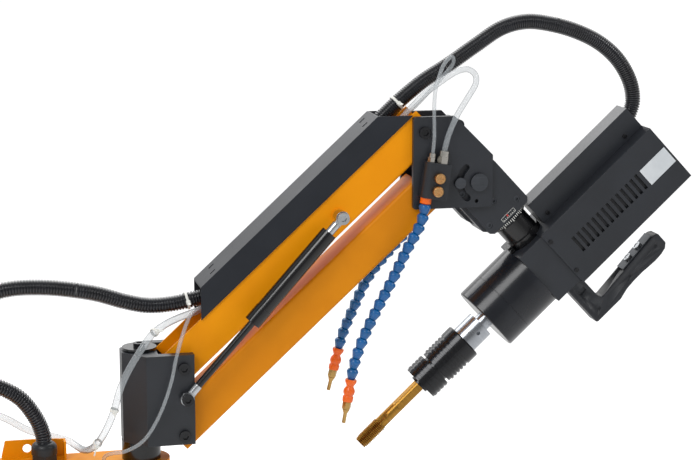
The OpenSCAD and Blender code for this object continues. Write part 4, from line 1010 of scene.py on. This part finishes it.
@dataclass
class CoolantHose:
    """A hose of ball links with its orange nozzle and brass tip."""

    side: str
    outlet: Vector
    outlet_lean: float
    bends: tuple[float, ...]
    pitch: float = 14.3
    radius: float = 8.1
    ball: float = 3.2
    nozzle: float = 31.0

    def points(self) -> list[Vector]:
        """Where each link starts, from the outlet's ball down."""
        ways = [Vector((math.sin(math.radians(a)), 0, math.cos(math.radians(a))))
                for a in (self.outlet_lean, *self.bends)]
        out = [self.outlet + self.ball * (ways[1] - ways[0])]
        for way in ways[1:]:
            out.append(out[-1] - self.pitch * way)
        return out

    def link(self) -> Any:
        """One link, hanging from its own mouth at the origin."""
        r, p = self.radius, self.pitch
        bm = bmesh.new()
        lathe(bm, [(4.5, -1.0), (4.9, 0.0), (5.6, 0.2), (6.3, -0.2), (7.3, -1.6), (r - 0.2, -2.9),
                   (r, -3.5), (r, -4.5), (r - 0.4, -5.3), (5.4, -p + 1.5), (4.4, -p + 0.4),
                   (4.0, -p + 0.15), (4.0, -p - 0.6), (0, -p - 0.6)], Matrix.Identity(4), 28)
        return bm

    def build(self) -> None:
        """Builds the links, the nozzle and its tip."""
        body = f"{self.side}_hose"
        link = piece(f"{body}_link", self.link(), Finish.HOSE_BLUE, 28.0)
        places = self.points()
        line = path_object(f"{body}_links", places[:-1])
        lean = line.data.attributes.new("lean", "FLOAT", "POINT")
        lean.data.foreach_set("value", [math.radians(a) for a in self.bends])
        tree = Nodes(f"{body}_chain", {"Size": 1.0})
        shape = tree.add("GeometryNodeObjectInfo", {}, {"Object": link}).outputs["Geometry"]
        turn = tree.add("ShaderNodeCombineXYZ", {}, {"Y": tree.named("lean")}).outputs[0]
        chain = tree.add("GeometryNodeInstanceOnPoints", {},
                         {"Points": tree.given("Geometry"), "Instance": shape, "Rotation": turn,
                          "Scale": tree.given("Size")}).outputs[0]
        chain_piece = tree.run(line, Finish.HOSE_BLUE, chain)
        bpy.data.objects.remove(link)
        chain_piece.data.shade_smooth()
        chain_piece.data.set_sharp_from_angle(angle=math.radians(28))
        mounted(chain_piece, body, body)
        end = moved(Matrix.Translation(places[-1]), (0, 0, 0), self.bends[-1])
        bm = bmesh.new()
        n = self.nozzle
        lathe(bm, [(4.4, -1.0), (5.2, -0.1), (7.2, 0.1), (7.8, -0.7), (8.0, -2.6), (7.5, -4.6), (5.2, -8.8),
                   (4.9, -9.8), (5.4, -10.8), (7.0, -13.2), (7.8, -15.6), (7.9, -17.4), (7.5, -19.6),
                   (6.6, -21.6), (6.2, -22.4), (6.3, -23.2), (7.2, -24.2), (7.4, -25.0), (7.2, -28.4),
                   (7.0, -n + 0.4), (6.6, -n), (0, -n)], end, 36)
        mounted(piece(f"{body}_nozzle", bm, Finish.HOSE_ORANGE, 30.0), body)
        bm = bmesh.new()
        hexed = moved(end, (0, 0, -n))
        lathe(bm, [(0, 0.2), (5.7, 0.2), (6.1, -0.3), (6.1, -9.4), (5.6, -10.2), (0, -10.2)], hexed, 6)
        lathe(bm, [(0, -10), (4.9, -10), (5.0, -11.4), (4.4, -12.6), (2.9, -16), (2.6, -17), (2.6, -29.5),
                   (2.3, -30), (1.5, -30), (1.5, -24), (0, -24)], hexed, 28)
        mounted(piece(f"{body}_tip", bm, Finish.NOZZLE_BRASS, 30.0), body)
        log.info("%s: %d links", body, len(self.bends))


@dataclass
class ValveKnobs:
    """Two knurled knobs on the valve block."""

    radius: float = 7.2
    length: float = 9.0
    depth: float = 21.0
    heights: tuple[tuple[str, float], ...] = (("upper", 5.0), ("lower", -12.5))

    def build(self) -> None:
        """Builds both knobs, each on its own body."""
        for name, z in self.heights:
            place = moved(PLACES.valve(), (2, -self.depth - 0.3, z), 90, "X")
            bm = bmesh.new()
            r, l = self.radius, self.length
            lathe(bm, [(0, 0), (r - 1.0, 0), (r - 0.3, 0.6), (r, 1.2), (r, l - 1.6), (r - 0.4, l - 0.8),
                       (r - 1.2, l), (3.4, l), (3.0, l - 0.7), (0, l - 0.7)], place, 96,
                  lambda a, h: 1.0 + (0.035 * (0.5 + 0.5 * math.cos(24 * a)) - 0.02
                                      if 1.0 < h < l - 1.2 else 0.0))
            box(bm, place, (-0.5, -4.6, l - 0.9), (0.5, 4.6, l - 0.25))
            body = f"valve_knob_{name}"
            mounted(piece(f"{body}_turned", bm, Finish.KNOB_BRASS, 25.0), body, body)
            log.info("%s knob", name)


@dataclass
class Tap:
    """The machine tap: milled shank, helical thread and straight flutes."""

    major: float = 10.2
    minor: float = 8.5
    shank: float = 8.3
    pitch: float = 2.5
    thread: float = 40.0
    length: float = 114.0
    top: float = -248.5
    flutes: int = 4

    def radius(self, angle: float, height: float) -> float:
        """Radius at an angle and a height above the tip."""
        turn = (height / self.pitch - angle / (2 * math.pi)) % 1.0
        ridge = 1.0 - abs(2 * turn - 1.0)
        thread = self.minor + (self.major - self.minor) * min(1.0, ridge * 1.25)
        lead = min(1.0, 0.86 + height / 45.0)
        fade = min(max((self.thread - height) / 2.5, 0.0), 1.0)
        r = (thread * lead) * fade + self.shank * (1 - fade)
        flute_depth = 3.6 * min(max((self.thread + 13 - height) / 13.0, 0.0), 1.0) ** 0.5
        a = (angle * self.flutes / (2 * math.pi)) % 1.0
        across = abs(a - 0.5) * 2
        cut = max(0.0, 1 - (across / 0.52) ** 2) ** 0.5
        r -= flute_depth * cut
        above = height - (self.length - 42)
        if above > 0:
            flat = self.shank * 0.86
            best = max(math.cos(angle - k * math.pi / 2 - 0.14) for k in range(4))
            r = min(r, flat / best)
        return r

    def build(self) -> None:
        """Builds the tap as one piece on the spindle."""
        bm = bmesh.new()
        steps = 10
        heights = [i * self.pitch / steps for i in range(int(self.thread / self.pitch * steps) + 4)]
        while heights[-1] < self.length + 6:
            heights.append(heights[-1] + 1.5)
        profile = [(0.0, heights[0]), *((1.0, h) for h in heights), (0.0, heights[-1])]
        lathe(bm, profile, moved(PLACES.spindle(), (0, 0, self.top - self.length)), 120, self.radius)
        mounted(piece("tap_threaded", bm, Finish.TAP_GOLD, 30.0), "spindle", "tap")
        log.info("tap: %d flutes", self.flutes)


@dataclass
class Graduations:
    """White marks round the turning ring, and the index window with its red mark."""

    ring_r: float = 30.0
    start: float = 72.5
    marks: int = 60
    mark: Point = (0.3, 0.9, 5.4)
    short: float = 0.62
    window: tuple[float, float, float] = (63.6, 68.6, 11.3)
    line: float = 0.45
    tooth: float = 3.14
    face: float = -28.3

    def ring(self) -> Any:
        """The marks, one instance for each point round the ring."""
        turn = PLACES.head() @ Matrix.Rotation(math.radians(90), 4, "Y")
        points, turns = [], []
        for k in range(self.marks):
            a = 2 * math.pi * k / self.marks
            points.append(turn @ Vector((self.ring_r * math.cos(a), self.ring_r * math.sin(a), self.start)))
            turns += list((turn.to_3x3() @ Matrix.Rotation(a, 3, "Z")).to_euler())
        mesh = bpy.data.meshes.new("ring_marks")
        mesh.from_pydata([tuple(p * MM) for p in points], [], [])
        mesh.attributes.new("round", "FLOAT_VECTOR", "POINT").data.foreach_set("vector", turns)
        sizes = [1.0 if k % 5 == 0 else self.short for k in range(self.marks)]
        mesh.attributes.new("size", "FLOAT", "POINT").data.foreach_set("value", sizes)
        thick, width, length = (size * MM for size in self.mark)
        tree = Nodes("ring_marks", {"Width": width, "Length": length})
        size = tree.add("ShaderNodeCombineXYZ", {},
                        {"X": thick, "Y": tree.given("Width"), "Z": tree.given("Length")}).outputs[0]
        bar = tree.add("GeometryNodeMeshCube", {}, {"Size": size}).outputs[0]
        half = tree.calc("MULTIPLY", tree.given("Length"), 0.5)
        lift = tree.add("ShaderNodeCombineXYZ", {}, {"Z": half}).outputs[0]
        raised = tree.add("GeometryNodeTransform", {}, {"Geometry": bar, "Translation": lift}).outputs[0]
        scale = tree.add("ShaderNodeCombineXYZ", {},
                         {"X": 1.0, "Y": 1.0, "Z": tree.named("size")}).outputs[0]
        placed = tree.add("GeometryNodeInstanceOnPoints", {},
                          {"Points": tree.given("Geometry"), "Instance": raised,
                           "Rotation": tree.named("round", "FLOAT_VECTOR"), "Scale": scale}).outputs[0]
        return tree.run(linked("ring_marks", mesh), Finish.NYLON, placed)

    def build(self) -> None:
        """Builds the marks, the window's pale line and the index."""
        mounted(self.ring(), "head")
        low, high, half = self.window
        head, y, w = PLACES.head(), self.face, self.line
        bm = bmesh.new()
        for u0, v0, u1, v1 in ((low - w, -half - w, low, half + w), (high, -half - w, high + w, half + w),
                               (low, -half - w, high, -half), (low, half, high, half + w)):
            box(bm, head, (u0, y - 0.06, v0), (u1, y + 0.1, v1))
        for v in (self.tooth * k for k in range(-3, 4)):
            box(bm, head, (high - 1.6, y + 0.85, v - 0.35), (high, y + 1.05, v + 0.35))
        mounted(piece("index_window", bm, Finish.NYLON), "knuckle")
        bm = bmesh.new()
        box(bm, head, (low, y + 0.7, -2.4), (high - 1.2, y + 1.1, -0.2))
        mounted(piece("index_mark", bm, Finish.RED_MARK), "knuckle")
        log.info("graduations: %d marks", self.marks)


@dataclass
class Handle:
    """The moulded grip: finger waves outside, leaning inner face, rounded edges."""

    half: float = 13.5
    root: float = 202.0
    outer: float = 278.0
    leg: tuple[float, float] = (-9.5, 17.0)
    grip: tuple[float, float] = (255.5, 21.5)
    clear: tuple[float, float] = (207.3, 10.7)
    lean: float = 5.9
    end: float = 138.0
    buttons: tuple[float, ...] = (65.0, 86.0)
    button_r: float = 6.05
    screw_r: float = 2.4
    waves: tuple[tuple[float, float], ...] = (
        (0.17, 0), (0.3, 4.2), (0.42, 5.6), (0.57, 5.8), (0.68, 4.8), (0.77, 4.2), (0.87, 5), (0.95, 7.5))
    screws: tuple[tuple[float, float], ...] = ((264, 6.5), (262.5, 68.3), (257.2, 123.4))

    def inner(self, v: float) -> float:
        """Where the grip's inner face is at a height v."""
        return self.grip[0] - (v - self.grip[1]) * math.tan(math.radians(self.lean))

    def outline(self) -> list[tuple[float, float]]:
        """The side view, in the head's frame."""
        low, high = self.leg
        waves = [(self.outer - depth, high + share * (self.end - high)) for share, depth in self.waves]
        return [(self.root, low), (self.outer - 2, low), (self.outer, low + 2), *waves,
                (self.outer - 13, self.end), (self.inner(self.end) + 4, self.end),
                (self.inner(self.end - 6), self.end - 6), self.grip, (self.grip[0] - 2, high + 1.2),
                (self.grip[0] - 6, high), (self.clear[0], high), self.clear, (self.root, self.clear[1])]

    def cutter(self) -> Any:
        """Everything that is cut out of the grip, as one object."""
        head = PLACES.head()
        grip = moved(head, (self.grip[0], 0, self.grip[1]), -self.lean)
        bm = bmesh.new()
        for z in self.buttons:
            r = self.button_r
            lathe(bm, [(0, -1), (r, -1), (r, 9), (0, 9)], moved(grip, (0, 0, z), 90), 32)
        for side in (-1, 1):
            y0, y1 = sorted((side * (self.half - 2), side * (self.half + 1)))
            box(bm, head, (224, y0, 0), (231, y1, 11))
            for u, v in self.screws:
                r = self.screw_r
                lathe(bm, [(0, -1.5), (r, -1.5), (r, 1), (0, 1)],
                      moved(head, (u, side * self.half, v), -90 * side, "X"), 24)
        return piece("grip_cutter", bm, Finish.HANDLE)

    def build(self) -> None:
        """Builds the grip over its solid."""
        bm = bmesh.new()
        prism(bm, self.outline(), PLACES.head(), -self.half, self.half)
        grip = bevelled(piece("grip", bm, Finish.HANDLE), 2.2, 4)
        cutter = self.cutter()
        cut = grip.modifiers.new("cut", "BOOLEAN")
        cut.object = cutter
        applied(grip)
        bpy.data.objects.remove(cutter)
        bm = bmesh.new()
        side = self.half + 3
        box(bm, PLACES.head(), (self.root, -side, self.leg[0] - 3), (self.root + 4, side, 4.5))
        flange = bevelled(piece("grip_flange", bm, Finish.HANDLE), 0.8, 2)
        for part in (grip, flange):
            mounted(part, "head", "handle")
        log.info("grip: %d faces", len(grip.data.polygons))


CAD_FINISHES: dict[Finish, tuple[str, ...]] = {
    Finish.ORANGE: ("base_plate", "column", "first_arm", "cable_bracket", "upper_beam"),
    # The lower beam takes the darker orange, a painted shade.
    Finish.ORANGE_SHADED: ("lower_beam",),
    Finish.CHARCOAL: ("swivel_bracket", "front_head_plate", "rear_head_plate", "plate_spacers",
                      "knuckle_block", "gear_housing", "motor_cover", "wiring_cover", "valve_block",
                      "rear_outlet"),
    Finish.CHARCOAL_COVER: ("beam_cover",),
    Finish.BLACK_OXIDE: ("shoulder_pins", "wrist_pins", "swivel_cap", "tick_ring", "chuck_body",
                         "chuck_sleeve", "panel_screws"),
    Finish.PIN_GREY: ("tilt_pin", "lock_pin"),
    Finish.GLOSS_BLACK: ("post", "strut_rod", "strut_barrel", "rotary_barrel"),
    Finish.GEARBOX_BLACK: ("gearbox",),
    Finish.STEEL: ("column_shaft", "hub_bearings", "strut_lower_eye", "strut_upper_eye",
                   "start_button", "reverse_button"),
    Finish.DARK_STEEL: ("handle_plate",),
    Finish.SPINDLE_STEEL: ("spindle",),
    Finish.NICKEL: ("tube_fittings",),
    Finish.BRONZE: ("swivel_bushes",),
    Finish.BLACK_PLASTIC: ("cable_gland", "servo_motor"),
    Finish.LABEL: ("label_plate",),
    Finish.HOSE_ORANGE: ("hose_outlets",),
}


class Solids:
    """Finishes on the solids that stay in view."""

    def dress(self) -> None:
        """Gives every solid its finish, on each of its material slots."""
        for finish, names in CAD_FINISHES.items():
            for name in names:
                thing = frame["nodes"][name]
                if not thing.data.materials:
                    thing.data.materials.append(None)
                for k in range(len(thing.data.materials)):
                    thing.data.materials[k] = finish.material()
        log.info("solids dressed: %d", sum(len(n) for n in CAD_FINISHES.values()))


# ---------------------------------------------------------------- studio


@dataclass
class Studio:
    """Pale floor, soft light and the photograph's camera."""

    eye: Point = (0.16229, -2.45462, 1.29091)
    pitch_deg: float = 79.4
    yaw_deg: float = -13.2
    lens: float = 97.71
    floor: float = 60.0
    world: float = 0.62
    front: float = 0.3
    behind: float = 1.1
    lamps: tuple[tuple[str, Point, Point, float, float], ...] = (
        ("key", (-0.9, -1.9, 2.7), (0.75, 0.0, 0.8), 1.3, 34.0),
        ("rim", (2.3, -0.9, 1.9), (0.9, 0.0, 0.85), 0.5, 7.0),
        ("back", (0.5, 1.5, 2.5), (0.85, 0.0, 0.85), 2.0, 34.0),
    )

    def camera(self) -> None:
        """Places the camera."""
        data = bpy.data.cameras.new("camera")
        data.sensor_width = 36.0
        data.lens = self.lens
        data.clip_end = 200.0
        thing = linked("camera", data)
        thing.location = self.eye
        thing.rotation_euler = (math.radians(self.pitch_deg), 0.0, math.radians(self.yaw_deg))
        bpy.context.scene.camera = thing

    def ground(self) -> None:
        """Lays the floor."""
        g = Graph("pale_floor")
        seen = g.value(g.add("ShaderNodeLightPath", {}, {}), "Is Camera Ray")
        cloud = g.noise(g.place(), 0.6, 1.0)
        glow = g.blend(seen, (0.0, 0.0, 0.0, 1.0), (0.5, 0.5, 0.5, 1.0))
        g.finish(Base_Color=g.blend(cloud, colour("F4F4F4"), colour("F1F1F1")), Roughness=0.8,
                 Emission_Color=glow, Emission_Strength=1.0)
        mesh = bpy.data.meshes.new("floor")
        s = self.floor
        corners = [(x * s, y * s, -MM) for x, y in ((-1, -1), (1, -1), (1, 1), (-1, 1))]
        mesh.from_pydata(corners, [], [(0, 1, 2, 3)])
        mesh.materials.append(g.material)
        linked("floor", mesh)

    def lamp(self, name: str, place: Point, aim: Point, size: float, power: float) -> None:
        """Adds a soft area lamp."""
        data = bpy.data.lights.new(name, "AREA")
        data.size = size
        data.energy = power
        thing = linked(name, data)
        thing.location = place
        thing.rotation_euler = (Vector(aim) - Vector(place)).to_track_quat("-Z", "Y").to_euler()

    def light(self) -> None:
        """Sets the world and the lamps."""
        world = bpy.data.worlds.new("plain_world")
        bpy.context.scene.world = world
        world.use_nodes = True
        tree = Tree(world.node_tree)
        path = tree.add("ShaderNodeLightPath", {}, {})
        way = tree.add("ShaderNodeTexCoord", {}, {}).outputs["Generated"]
        depth = tree.add("ShaderNodeSeparateXYZ", {}, {0: way}).outputs["Y"]
        level = tree.add("ShaderNodeMapRange", {}, {0: depth, 1: -0.4, 3: self.front, 4: self.behind})
        glossy = tree.add("ShaderNodeMix", {}, {0: path.outputs["Is Glossy Ray"], 2: self.world,
                                                3: level.outputs[0]})
        seen = tree.add("ShaderNodeMix", {},
                        {0: path.outputs["Is Camera Ray"], 2: glossy.outputs[0], 3: 1.0})
        background = world.node_tree.nodes["Background"]
        background.inputs[0].default_value = (1.0, 1.0, 1.0, 1.0)
        world.node_tree.links.new(seen.outputs[0], background.inputs[1])
        for lamp in self.lamps:
            self.lamp(*lamp)

    def build(self) -> None:
        """Sets the whole studio."""
        bpy.context.scene.view_settings.view_transform = "Standard"
        self.camera()
        self.ground()
        self.light()


def main() -> None:
    """Builds every sub-assembly in order."""
    logging.basicConfig(level=logging.INFO, format="%(message)s")
    Studio().build()
    Conduits().build()
    CoolantTubes().build()
    CableTies().build()
    CoolantHose("front", PLACES.valve() @ Vector(FRONT_OUTLET), PLACES.valve_lean, FRONT_BENDS).build()
    CoolantHose("rear", PLACES.wrist + Vector(REAR_OUTLET), 0.0, REAR_BENDS).build()
    ValveKnobs().build()
    Tap().build()
    Graduations().build()
    Handle().build()
    Solids().dress()


if __name__ == "__main__":
    main()
